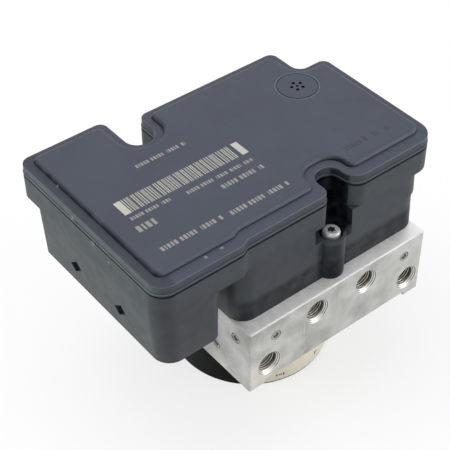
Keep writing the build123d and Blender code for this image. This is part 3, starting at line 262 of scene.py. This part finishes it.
# ---- materials -------------------------------------------------------------------------------
NOISE_SPREAD = (0.3, 0.7)  # cloudy noise seldom leaves this range
FACING, LEANING = (0.5, 0.85), (0.3, 0.8)  # cosines from which and to which a patch takes hold
ROUND_SOFT, HOLE_SOFT = 0.15, 0.05  # softness of the edges of round masks, in mm
SPOT_CORE, EDGE_CORE = 0.8, 0.85  # part of a spot's radius or a band's width before it fades
MIX_NUMBERS, MIX_COLOURS = (2, 3), (6, 7)  # the two inputs that a Mix node mixes
TURNING_MARKS = (0.3, 0.3, 1)  # stretch of the noise that stands for them


class Shader:
    """One material's node tree, with short calls for the nodes that this scene uses."""

    def __init__(self, name, roughness=0.5, metallic=0.0):
        self.material = bpy.data.materials.new(name)
        self.material.use_nodes = True
        self.tree = self.material.node_tree
        self.surface = self.tree.nodes["Principled BSDF"]
        self.surface.inputs["Roughness"].default_value = roughness
        self.surface.inputs["Metallic"].default_value = metallic
        self.place = self.add("ShaderNodeTexCoord").outputs["Object"]

    def add(self, kind, **settings):
        node = self.tree.nodes.new(kind)
        for key, value in settings.items():
            setattr(node, key, value)
        return node

    def join(self, value, socket):
        """Links an output, or sets a number, vector or colour."""
        if isinstance(value, bpy.types.NodeSocket):
            self.tree.links.new(value, socket)
        else:
            socket.default_value = value

    def set(self, **values):
        """Inputs of the surface by name, with _ for a space."""
        for key, value in values.items():
            self.join(value, self.surface.inputs[key.replace("_", " ")])
        return self

    def math(self, operation, a, b):
        node = self.add("ShaderNodeMath", operation=operation)
        self.join(a, node.inputs[0])
        self.join(b, node.inputs[1])
        return node.outputs[0]

    def vector(self, operation, a, b=(0, 0, 0)):
        """Vector that an operation gives, or its number where it gives one."""
        node = self.add("ShaderNodeVectorMath", operation=operation)
        self.join(a, node.inputs[0])
        self.join(b, node.inputs[1])
        number = operation in ("DISTANCE", "DOT_PRODUCT", "LENGTH")
        return node.outputs["Value" if number else "Vector"]

    def axis(self, index):
        """X, Y or Z of the place, in metres."""
        node = self.add("ShaderNodeSeparateXYZ")
        self.join(self.place, node.inputs[0])
        return node.outputs[index]

    def mix(self, factor, a, b):
        """Colour a where factor is 0, b where it is 1."""
        node = self.add("ShaderNodeMix", data_type="RGBA")
        self.join(factor, node.inputs["Factor"])
        for value, index in zip((a, b), MIX_COLOURS):
            self.join(value, node.inputs[index])
        return node.outputs[2]

    def tint(self, tone, mask, amount, colour):
        """Tone, taken towards a colour by an amount where the mask is 1."""
        return self.mix(self.math("MULTIPLY", mask, amount), tone, colour)

    def span(self, value, low, high, start=0.0, end=1.0):
        """Value taken from low..high to start..end, and held there outside it."""
        node = self.add("ShaderNodeMapRange", clamp=True)
        self.join(value, node.inputs["Value"])
        for name, number in (("From Min", low), ("From Max", high), ("To Min", start), ("To Max", end)):
            node.inputs[name].default_value = number
        return node.outputs[0]

    def noise(self, size, detail=2.0, stretch=(1, 1, 1), shift=0.0):
        """Cloudy noise from 0 to 1 whose spots are about size mm across."""
        mapping = self.add("ShaderNodeMapping")
        self.join(self.place, mapping.inputs["Vector"])
        mapping.inputs["Scale"].default_value = [part / (size * MM) for part in stretch]
        mapping.inputs["Location"].default_value = (shift, shift, shift)
        node = self.add("ShaderNodeTexNoise")
        self.join(mapping.outputs[0], node.inputs["Vector"])
        node.inputs["Scale"].default_value = 1.0
        node.inputs["Detail"].default_value = detail
        return node.outputs["Fac"]

    def spots(self, size, low, high, detail=3.0, **look):
        """Spots about size mm across: 0 where the noise is below low, 1 where it is above high."""
        return self.span(self.noise(size, detail, **look), low, high)

    def wavering(self, size, start, end, detail=2.0):
        """Number that wavers from start to end over spots about size mm across."""
        return self.span(self.noise(size, detail), *NOISE_SPREAD, start, end)

    def bump(self, height, depth, strength=1.0):
        """Relief of the given depth in mm, from a height of 0 to 1."""
        node = self.add("ShaderNodeBump")
        self.join(height, node.inputs["Height"])
        node.inputs["Distance"].default_value = depth * MM
        node.inputs["Strength"].default_value = strength
        self.join(node.outputs[0], self.surface.inputs["Normal"])
        return self

    def toward(self, direction, low, high):
        """1 where the surface faces a direction and 0 where it faces away."""
        normal = self.add("ShaderNodeTexCoord").outputs["Normal"]
        return self.span(self.vector("DOT_PRODUCT", normal, direction), low, high)

    def zone(self, value, low, high, soft):
        """1 where a length in metres is between low and high mm, and 0 beyond it."""
        rise = self.span(value, (low - soft) * MM, low * MM)
        fall = self.span(value, high * MM, (high + soft) * MM, 1.0, 0.0)
        return self.math("MULTIPLY", rise, fall)

    def box_mask(self, low, high, soft):
        """1 inside a box given by its corners, fading out over soft mm."""
        inside = 1.0
        for index in range(3):
            side = self.zone(self.axis(index), low[index], high[index], soft)
            inside = self.math("MULTIPLY", inside, side)
        return inside

    def patch_mask(self, patch, facing):
        """1 in a patch, where the surface faces the patch's way."""
        mask = self.box_mask(*patch.corners, patch.soft)
        if patch.facing:
            mask = self.math("MULTIPLY", mask, self.toward(patch.facing, *facing))
        return mask

    def near(self, point, radius, ragged=0.5):
        """1 inside a ragged patch round a point and 0 outside it."""
        away = self.vector("DISTANCE", self.place, [value * MM for value in point])
        rough = self.wavering(radius * 0.6, 1 - ragged, 1 + ragged, detail=3.0)
        reach = radius * MM
        return self.span(self.math("MULTIPLY", away, rough), SPOT_CORE * reach, reach, 1.0, 0.0)

    def around(self, point, axis, inner, outer, soft):
        """1 between two radii round an axis, along X, Y or Z through a point, and 0 elsewhere."""
        offset = self.vector("SUBTRACT", self.place, [value * MM for value in point])
        across = self.vector("MULTIPLY", offset, [1.0 - abs(value) for value in axis])
        return self.zone(self.vector("LENGTH", across), inner, outer, soft)

    def in_hole(self, mount, inner, outer, near, far):
        """1 between two radii and two depths of a mount's hole and 0 elsewhere."""
        mouth, axis = mouth_of(mount), Vector(mount["axis"])
        offset = self.vector("SUBTRACT", self.place, mouth * MM)
        depth = self.zone(self.vector("DOT_PRODUCT", offset, -axis), near, far, HOLE_SOFT)
        ring = self.around(mouth, axis, inner, outer, HOLE_SOFT)
        return self.math("MULTIPLY", ring, depth)

    def box_edges(self, low, high, width):
        """1 within width mm of the edges of a box given in metres and 0 elsewhere."""
        close = []
        for index in range(3):
            along = self.axis(index)
            to_low = self.math("ABSOLUTE", self.math("SUBTRACT", along, low[index]), 0.0)
            to_high = self.math("ABSOLUTE", self.math("SUBTRACT", along, high[index]), 0.0)
            end = self.math("MINIMUM", to_low, to_high)
            close.append(self.span(end, EDGE_CORE * width * MM, width * MM, 1.0, 0.0))
        pairs = [self.math("MINIMUM", close[a], close[b]) for a, b in ((0, 1), (1, 2), (0, 2))]
        return self.math("MAXIMUM", self.math("MAXIMUM", pairs[0], pairs[1]), pairs[2])


def machined_aluminium():
    """Milled block: tool marks, mottled greys, stains, brownish holes and bright worn edges, with
    painted light on the top faces, painted shade on the front chamfer and the thread turns, and painted
    highlights on the front face and countersink rims.
    """
    m = Shader("machined_aluminium", metallic=0.55)
    clouds = m.spots(11, 0.32, 0.68, detail=5.0)
    stains = m.spots(7, 0.58, 0.72, detail=4.0, shift=3.1)
    scuffs = m.spots(0.8, 0.64, 0.74, detail=2.0, stretch=(1, 1, 0.06), shift=1.7)
    nicks = m.spots(1.3, 0.70, 0.76, shift=5.3)
    edges = m.box_edges(*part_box("hydraulic_block"), EDGE_WIDTH)
    worn = m.math("MULTIPLY", edges, m.spots(2.2, 0.35, 0.6, shift=7.7))
    grey = m.mix(clouds, ALUMINIUM_DARK, ALUMINIUM_PALE)
    grey = m.tint(grey, stains, 0.4, STAIN)
    grey = m.tint(grey, scuffs, 0.45, SCUFF)
    grey = m.tint(grey, nicks, 0.5, NICK)
    grey = m.tint(grey, worn, 0.2, WORN_EDGE)
    # painted shade on the chamfer between front and top, to dim its highlight
    grey = m.tint(grey, m.toward(BEVEL, 0.75, 0.85), 0.55, BEVEL_PAINTED_SHADE)
    # painted highlights on the front face
    for patch in BLOCK_PAINTED_HIGHLIGHTS:
        grey = m.tint(grey, m.patch_mask(patch, FACING), patch.amount, patch.colour)
    for mount in threaded_mounts():
        wall, length = wall_of(mount)
        bore = m.in_hole(mount, 0.0, wall + WALL_SKIN, -HOLE_SOFT, length + HOLE_RUN)
        grey = m.tint(grey, bore, 0.8, HOLE_BROWN)
        outer = wall * COUNTERSINK_SPREAD
        # painted highlight: a bright ring on the countersink round each hole
        rim = m.in_hole(mount, wall + RIM_INSET, outer, -COUNTERSINK_RUN, -MOUTH_GAP)
        grey = m.tint(grey, rim, 0.6, HOLE_RIM_HIGHLIGHT)
        for offset in COUNTERSINK_TURNS:
            inner = wall + offset
            # painted shade: dark rings on the countersink for the last thread turns
            turn = m.in_hole(mount, inner, inner + TURN_WIDTH, -COUNTERSINK_RUN, -MOUTH_GAP)
            grey = m.tint(grey, turn, 0.85, HOLE_TURN_SHADE)
    # painted light: faces that look up are taken almost to white
    grey = m.tint(grey, m.toward(UP, *FACING), 1.0, TOP_PAINTED_LIGHT)
    rough = m.wavering(2.5, 0.36, 0.54, detail=3.0)
    m.set(Base_Color=grey, Roughness=m.math("ADD", rough, m.math("MULTIPLY", edges, 0.3)))
    mill_marks = m.noise(0.5, 1.0, stretch=(1, 0.04, 1))
    return m.bump(m.math("ADD", m.noise(0.35), mill_marks), 0.014).material


def thread_metal():
    """Cut thread: brown and dark in the roots, bright on the crests."""
    m = Shader("thread_metal", metallic=0.6)
    tone = m.mix(m.spots(1.6, 0.35, 0.65), THREAD_PALE, THREAD_DULL)
    for mount in threaded_mounts():
        wall, length = wall_of(mount)
        middle = wall - THREAD_DEPTH / 2
        root = m.in_hole(mount, middle, wall + WALL_SKIN, -THREAD_PITCH / 2, length + HOLE_RUN)
        tone = m.tint(tone, root, 0.85, THREAD_ROOT)
    m.set(Base_Color=tone, Roughness=m.wavering(0.8, 0.28, 0.42))
    return m.bump(m.noise(0.3), 0.01, 0.6).material


def turned_metal(name, colour, roughness, mark_width):
    """Bright metal with fine turning marks and slight clouding."""
    m = Shader(name, metallic=1.0)
    m.set(Base_Color=m.mix(m.noise(3.0, 3.0), darker(colour, 0.82), colour))
    m.set(Roughness=m.wavering(1.2, roughness - 0.05, roughness + 0.08))
    return m.bump(m.noise(mark_width, 1.0, stretch=TURNING_MARKS), 0.006).material


def zinc_coat():
    """Zinc coated steel: bright screws with painted shade in the drive recess, dull brownish plugs in
    the block.
    """
    m = Shader("zinc_steel", metallic=0.5)
    tone = m.mix(m.noise(3.0, 3.0), ZINC_DARK, ZINC_PALE)
    tone = m.tint(tone, m.box_mask(*slab(FOOT_Z, BLOCK_TOP), CRISP), 0.4, PLUG_BROWN)
    # painted shade in the screw's drive recess
    drive = m.around((SCREW_X, SCREW_Y, 0.0), UP, 0.0, DRIVE_RADIUS, ROUND_SOFT)
    deep = m.box_mask(*slab(BLOCK_TOP, DRIVE_Z), CRISP)
    tone = m.tint(tone, m.math("MULTIPLY", drive, deep), 0.85, DRIVE_SHADE)
    m.set(Base_Color=tone, Roughness=m.wavering(1.2, 0.31, 0.44))
    return m.bump(m.noise(0.35, 1.0, stretch=TURNING_MARKS), 0.006).material


def moulded_plastic(name, colour, wear_and_highlight_colour, patches, nicks, rings=()):
    """Fine-grained moulded plastic, a little dusty and nicked, with painted light, painted shade and
    painted highlights in patches, and dull where the painted shade is deepest.
    """
    m = Shader(name)
    tone = m.mix(m.spots(22, *NOISE_SPREAD, detail=4.0), darker(colour, 0.86), colour)
    # uneven strength of the painted light and shade
    uneven = m.span(m.noise(6, 3.0, shift=4.1), 0.3, 0.6, 0.6, 1.0)
    shine = 0.4
    for patch in patches:
        mask = m.math("MULTIPLY", m.patch_mask(patch, LEANING), uneven)
        tone = m.tint(tone, mask, patch.amount, patch.colour)
        if patch.colour == DEEP_PAINTED_SHADE:  # deep painted shade takes the shine away too
            dull = m.math("SUBTRACT", 1.0, m.math("MULTIPLY", mask, patch.amount))
            shine = m.math("MULTIPLY", dull, shine)
    for x, y, inner, outer in rings:
        # painted highlight rings
        tone = m.tint(tone, m.around((x, y, 0.0), UP, inner, outer, ROUND_SOFT), 0.3, wear_and_highlight_colour)
    tone = m.tint(tone, m.spots(0.45, 0.66, 0.80, detail=2.0, shift=2.3), 0.22, wear_and_highlight_colour)
    for point, radius in nicks:
        tone = m.tint(tone, m.near(point, radius), 0.8, wear_and_highlight_colour)
    m.set(Base_Color=tone, Roughness=m.wavering(5.0, 0.45, 0.56, detail=3.0))
    m.set(Specular_IOR_Level=shine)
    return m.bump(m.noise(0.28), 0.02, 0.7).material


def plain_moulding(name, colour, roughness):
    """Moulded piece with light mottling and a fine surface."""
    m = Shader(name)
    m.set(Base_Color=m.mix(m.noise(4.0, 3.0), darker(colour, 0.8), colour))
    m.set(Roughness=m.wavering(1.5, roughness - 0.06, roughness + 0.06))
    return m.bump(m.noise(0.3), 0.01, 0.6).material


def black_coat():
    """Black paint on drawn steel: satin, with a slight orange peel and dust."""
    m = Shader("black_coat")
    tone = m.mix(m.noise(12, 3.0), PAINT_DARK, PAINT_PALE)
    m.set(Base_Color=m.tint(tone, m.spots(0.8, 0.58, 0.75), 0.1, PAINT_DUST))
    m.set(Roughness=m.wavering(4, 0.42, 0.54, detail=3.0), Specular_IOR_Level=0.08)
    return m.bump(m.noise(1.1, 1.0), 0.02, 0.5).material


def wound_copper():
    """Enamelled wire, laid side by side."""
    m = Shader("wound_copper", roughness=0.3, metallic=0.9)
    strands = m.noise(0.5, 1.0, stretch=(0.15, 0.15, 1))
    m.set(Base_Color=m.mix(strands, COPPER_DARK, COPPER_PALE))
    return m.bump(strands, 0.08).material


def circuit_board():
    """Green solder mask over tracks."""
    m = Shader("circuit_board", roughness=0.35)
    checks = m.add("ShaderNodeTexChecker")
    m.join(m.place, checks.inputs["Vector"])
    checks.inputs["Scale"].default_value = 420.0
    tracks = m.math("MULTIPLY", checks.outputs["Fac"], m.spots(6, 0.45, 0.55, detail=2.0))
    m.set(Base_Color=m.mix(tracks, BOARD_GREEN, TRACK_GREEN))
    return m.bump(tracks, 0.02).material


def woven_film():
    """Pale porous film."""
    m = Shader("woven_film", roughness=0.8)
    m.set(Base_Color=m.mix(m.noise(0.2), FILM_DARK, FILM_PALE))
    return m.bump(m.noise(0.15, 1.0), 0.01).material


def ink(name, colour):
    """Thin print, a little uneven and worn through in specks."""
    m = Shader(name, roughness=0.6)
    tone = m.mix(m.noise(6), darker(colour, 0.86), colour)
    m.set(Base_Color=m.tint(tone, m.spots(0.5, 0.62, 0.8), 0.6, WORN_PRINT))
    return m.bump(m.noise(0.3), 0.01, 0.5).material


def paper_film():
    """Cream label film, slightly stained and lifted into faint waves."""
    m = Shader("label_film", roughness=0.42)
    cream = m.mix(m.noise(16), LABEL_DARK, LABEL_PALE)
    m.set(Base_Color=m.tint(cream, m.spots(7, 0.55, 0.75, detail=4.0), 0.3, LABEL_STAIN))
    return m.bump(m.noise(9), 0.05, 0.4).material


def make_materials():
    """All materials, by the names of the record's slots and of the inks and threads."""
    made = {
        "machined_aluminium": machined_aluminium(),
        "thread_metal": thread_metal(),
        "zinc_steel": zinc_coat(),
        "copper": wound_copper(),
        "housing_plastic": moulded_plastic(
            "housing_plastic", HOUSING_COLOUR, HOUSING_EDGE, HOUSING_PAINTED_LIGHT_AND_SHADE, HOUSING_NICKS
        ),
        "cover_plastic": moulded_plastic(
            "cover_plastic", COVER_COLOUR, COVER_WEAR_AND_HIGHLIGHT, COVER_PAINTED_LIGHT_AND_SHADE, COVER_NICKS, COVER_HIGHLIGHT_RINGS
        ),
        "membrane": woven_film(),
        "board": circuit_board(),
        "black_paint": black_coat(),
        "label": paper_film(),
    }
    for maker, looks in ((turned_metal, TURNED_METALS), (plain_moulding, PLAIN_MOULDINGS), (ink, INKS)):
        for name, *look in looks:
            made[name] = maker(name, *look)
    return made


MATERIALS = make_materials()


def dress_nodes():
    """Gives each node of the solid model the material of its slot."""
    for entry in frame["record"]["subparts"]:
        node = NODES[entry["node"]]
        material = MATERIALS[entry["material_slot"]]
        if not node.material_slots:
            node.data.materials.append(material)
        for slot in node.material_slots:
            slot.material = material


# ---- pieces that the solid model leaves out ---------------------------------------------------
def add_piece(name, mesh, material):
    """A mesh piece that rides on the module."""
    mesh.materials.append(MATERIALS[material])
    piece = bpy.data.objects.new(name, mesh)
    bpy.context.scene.collection.objects.link(piece)
    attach(piece, "module")


def mesh_of(name, vertices, faces):
    """Mesh from points in mm."""
    mesh = bpy.data.meshes.new(name)
    mesh.from_pydata([[value * MM for value in point] for point in vertices], [], faces)
    mesh.validate()
    return mesh


def thread_mesh(name, mount):
    """Helical ridge inside a mount's hole, from its mouth inwards, that fades in and out."""
    wall, length = wall_of(mount)
    along = -Vector(mount["axis"])
    across = along.orthogonal().normalized()
    over = along.cross(across)
    foot, crest = wall + THREAD_SUNK, wall - THREAD_DEPTH
    section = (
        (foot, -THREAD_FOOT / 2),
        (crest, -THREAD_CREST / 2),
        (crest, THREAD_CREST / 2),
        (foot, THREAD_FOOT / 2),
    )
    count = len(section)
    last = int(length / THREAD_PITCH) * THREAD_STEPS
    half_turn = THREAD_STEPS / 2
    vertices = []
    for step in range(last + 1):
        fade = min(1.0, step / half_turn, (last - step) / half_turn)
        angle = pi * step / half_turn
        spoke = across * cos(angle) + over * sin(angle)
        middle = mouth_of(mount) + along * THREAD_PITCH * (half_turn + step) / THREAD_STEPS
        for radius, offset in section:
            out = spoke * (foot + (radius - foot) * fade)
            vertices.append(middle + out + along * offset * THREAD_PITCH)
    ends = [list(range(count))[::-1], [last * count + index for index in range(count)]]
    faces = []
    for base in range(0, last * count, count):
        for index in range(count):
            here, following = base + index, base + (index + 1) % count
            faces.append((here, following, following + count, here + count))
    mesh = mesh_of(name, vertices, faces + ends)
    for polygon in mesh.polygons:
        polygon.use_smooth = True
    return mesh


def add_threads():
    """A thread in every threaded mount, as deep as the mount's wall."""
    for mount in threaded_mounts():
        name = "thread_" + mount["name"]
        add_piece(name, thread_mesh(name, mount), "thread_metal")


def block_mesh(name, blocks):
    """One mesh of many blocks, each given by its four lower and four upper corners, by turns."""
    quads = ((3, 2, 1, 0), (4, 5, 6, 7), (0, 1, 5, 4), (1, 2, 6, 5), (2, 3, 7, 6), (3, 0, 4, 7))
    vertices = [corner for block in blocks for corner in block]
    bases = range(0, len(vertices), 8)
    faces = [[base + corner for corner in quad] for base in bases for quad in quads]
    return mesh_of(name, vertices, faces)


def add_flat_marks(name, boxes, material):
    """Thin rectangles on the cover's top face; boxes are (x, x, y, y)."""
    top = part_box("ecu_cover")[1].z / MM + PRINT_LIFT
    blocks = []
    for left, right, low, high in boxes:
        plan = ((left, low), (right, low), (right, high), (left, high))
        blocks.append([(x, y, z) for z in (top - PRINT_THICKNESS, top) for x, y in plan])
    add_piece(name, block_mesh(name, blocks), material)


def spaced(start, end, widths, gaps):
    """Number and two ends of each mark that fits from start to end, with its width and gap by turns."""
    x, index = start, 0
    width = widths[0]
    while x + width <= end:
        yield index, x, x + width
        x += width + gaps[index % len(gaps)]
        index += 1
        width = widths[index % len(widths)]


def barcode_boxes():
    """Two wide end blocks, and bright and dim bars of a made-up rhythm between them."""
    ends = ((BARCODE_START, BARCODE_START + BAR_END_BLOCK), (BARCODE_END - BAR_END_BLOCK, BARCODE_END))
    pale = [(left, right, BARCODE_LOW, BARCODE_HIGH) for left, right in ends]
    start, end = ends[0][1] + BAR_UNIT, ends[1][0] - BAR_UNIT / 2
    widths = [units * BAR_UNIT for units in BAR_WIDTHS]
    gaps = [units * BAR_UNIT for units in BAR_GAPS]
    bright, dim = [], []
    for index, left, right in spaced(start, end, widths, gaps):
        bars = bright if BAR_WIDTHS[index % len(BAR_WIDTHS)] <= BRIGHT_WIDTH else dim
        bars.append((left, right, BARCODE_LOW, BARCODE_HIGH))
    return pale, bright, dim


def mark_boxes(rows):
    """Rows of small plain blocks, with a break now and then."""
    boxes = []
    for start, end, middle, height in rows:
        low, high = middle - height / 2, middle + height / 2
        widths = [part * height for part in MARK_WIDTHS]
        for index, left, right in spaced(start, end, widths, [MARK_GAP * height]):
            if index % WORD_BREAK != WORD_BREAK - 1:
                boxes.append((left, right, low, high))
    return boxes


def add_cover_print():
    pale, bright, dim = barcode_boxes()
    add_flat_marks("cover_print_ends", pale, "cover_ink")
    add_flat_marks("cover_print_bright", bright, "bright_ink")
    add_flat_marks("cover_print_dim", dim + mark_boxes(MARK_ROWS), "dim_ink")
    add_flat_marks("cover_moulded_marks", mark_boxes(MOULDED_ROWS), "moulded_mark")


def add_label_print():
    """Small dark marks that curve with the motor's label."""
    outer = PRINT_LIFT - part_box("motor_label")[0].y / MM
    inner = outer - PRINT_THICKNESS
    blocks = []
    for start, end, low, high in LABEL_MARKS:
        plan = ((outer, start), (outer, end), (inner, end), (inner, start))
        spokes = [(radius * cos(radians(turn)), radius * sin(radians(turn))) for radius, turn in plan]
        blocks.append([(x, y, z) for z in (low, high) for x, y in spokes])
    add_piece("label_print", block_mesh("label_print", blocks), "label_ink")


# ---- studio ----------------------------------------------------------------------------------
def seen_directly(tree):
    """1 for rays from the camera, from gloss and through glass, and 0 for the light on the object."""
    path = tree.nodes.new("ShaderNodeLightPath")
    seen = path.outputs["Is Camera Ray"]
    for kind in ("Is Glossy Ray", "Is Transmission Ray"):
        either = tree.nodes.new("ShaderNodeMath")
        either.operation = "MAXIMUM"
        tree.links.new(seen, either.inputs[0])
        tree.links.new(path.outputs[kind], either.inputs[1])
        seen = either.outputs[0]
    return seen


def add_floor():
    """Pale floor, which is seen nearly white but keeps the object's shadow."""
    half = FLOOR_SIZE / 2
    corners = [(-half, -half, 0), (half, -half, 0), (half, half, 0), (-half, half, 0)]
    mesh = bpy.data.meshes.new("floor")
    mesh.from_pydata(corners, [], [(0, 1, 2, 3)])
    m = Shader("floor", roughness=0.9)
    m.set(Base_Color=m.mix(m.noise(FLOOR_CLOUDS), FLOOR_DARK, FLOOR_PALE))
    white = m.add("ShaderNodeEmission")
    white.inputs["Strength"].default_value = BACKGROUND
    blend = m.add("ShaderNodeMixShader")
    m.join(m.math("MULTIPLY", seen_directly(m.tree), FLOOR_WHITE), blend.inputs[0])
    m.join(m.surface.outputs[0], blend.inputs[1])
    m.join(white.outputs[0], blend.inputs[2])
    m.join(blend.outputs[0], m.tree.nodes["Material Output"].inputs["Surface"])
    mesh.materials.append(m.material)
    floor = bpy.data.objects.new("floor", mesh)
    bpy.context.scene.collection.objects.link(floor)


def add_world():
    """Soft light, strongest from overhead; the camera and reflections see white."""
    world = bpy.data.worlds.new("studio")
    bpy.context.scene.world = world
    world.use_nodes = True
    tree = world.node_tree
    direction = tree.nodes.new("ShaderNodeTexCoord")
    parts = tree.nodes.new("ShaderNodeSeparateXYZ")
    tree.links.new(direction.outputs["Generated"], parts.inputs[0])
    light = tree.nodes.new("ShaderNodeMapRange")
    tree.links.new(parts.outputs["Z"], light.inputs["Value"])
    light.inputs["To Min"].default_value = HORIZON_LIGHT
    light.inputs["To Max"].default_value = OVERHEAD_LIGHT
    strength = tree.nodes.new("ShaderNodeMix")
    lit, seen = MIX_NUMBERS
    tree.links.new(seen_directly(tree), strength.inputs["Factor"])
    tree.links.new(light.outputs[0], strength.inputs[lit])
    strength.inputs[seen].default_value = BACKGROUND
    background = tree.nodes["Background"]
    tree.links.new(strength.outputs[0], background.inputs["Strength"])
    background.inputs["Color"].default_value = (1, 1, 1, 1)


def add_lamp(name, place, power):
    lamp = bpy.data.lights.new(name, "AREA")
    lamp.shape = "SQUARE"
    lamp.size = LAMP_SIZE
    lamp.energy = power
    lamp_object = bpy.data.objects.new(name, lamp)
    lamp_object.location = place
    aim = Vector(LAMP_AIM) - Vector(place)
    lamp_object.rotation_euler = aim.to_track_quat("-Z", "Y").to_euler()
    bpy.context.scene.collection.objects.link(lamp_object)


def add_camera():
    azimuth, elevation, roll = (radians(v) for v in (CAMERA_AZIMUTH, CAMERA_ELEVATION, CAMERA_ROLL))
    back = Vector((sin(azimuth) * cos(elevation), -cos(azimuth) * cos(elevation), sin(elevation)))
    level = Vector((cos(azimuth), sin(azimuth), 0))
    over = back.cross(level)
    right = level * cos(roll) + over * sin(roll)
    up = back.cross(right)
    data = bpy.data.cameras.new("camera")
    data.lens, data.sensor_width, data.sensor_fit = CAMERA_LENS, CAMERA_SENSOR, "HORIZONTAL"
    data.clip_start, data.clip_end = CAMERA_CLIP
    camera = bpy.data.objects.new("camera", data)
    turn = Matrix((right, up, back)).transposed()
    camera.matrix_world = Matrix.Translation(CAMERA_PLACE) @ turn.to_4x4()
    bpy.context.scene.collection.objects.link(camera)
    bpy.context.scene.camera = camera


dress_nodes()
add_threads()
add_cover_print()
add_label_print()
add_floor()
add_world()
for lamp_settings in LAMPS:
    add_lamp(*lamp_settings)
add_camera()
bpy.context.scene.view_settings.view_transform = "Standard"
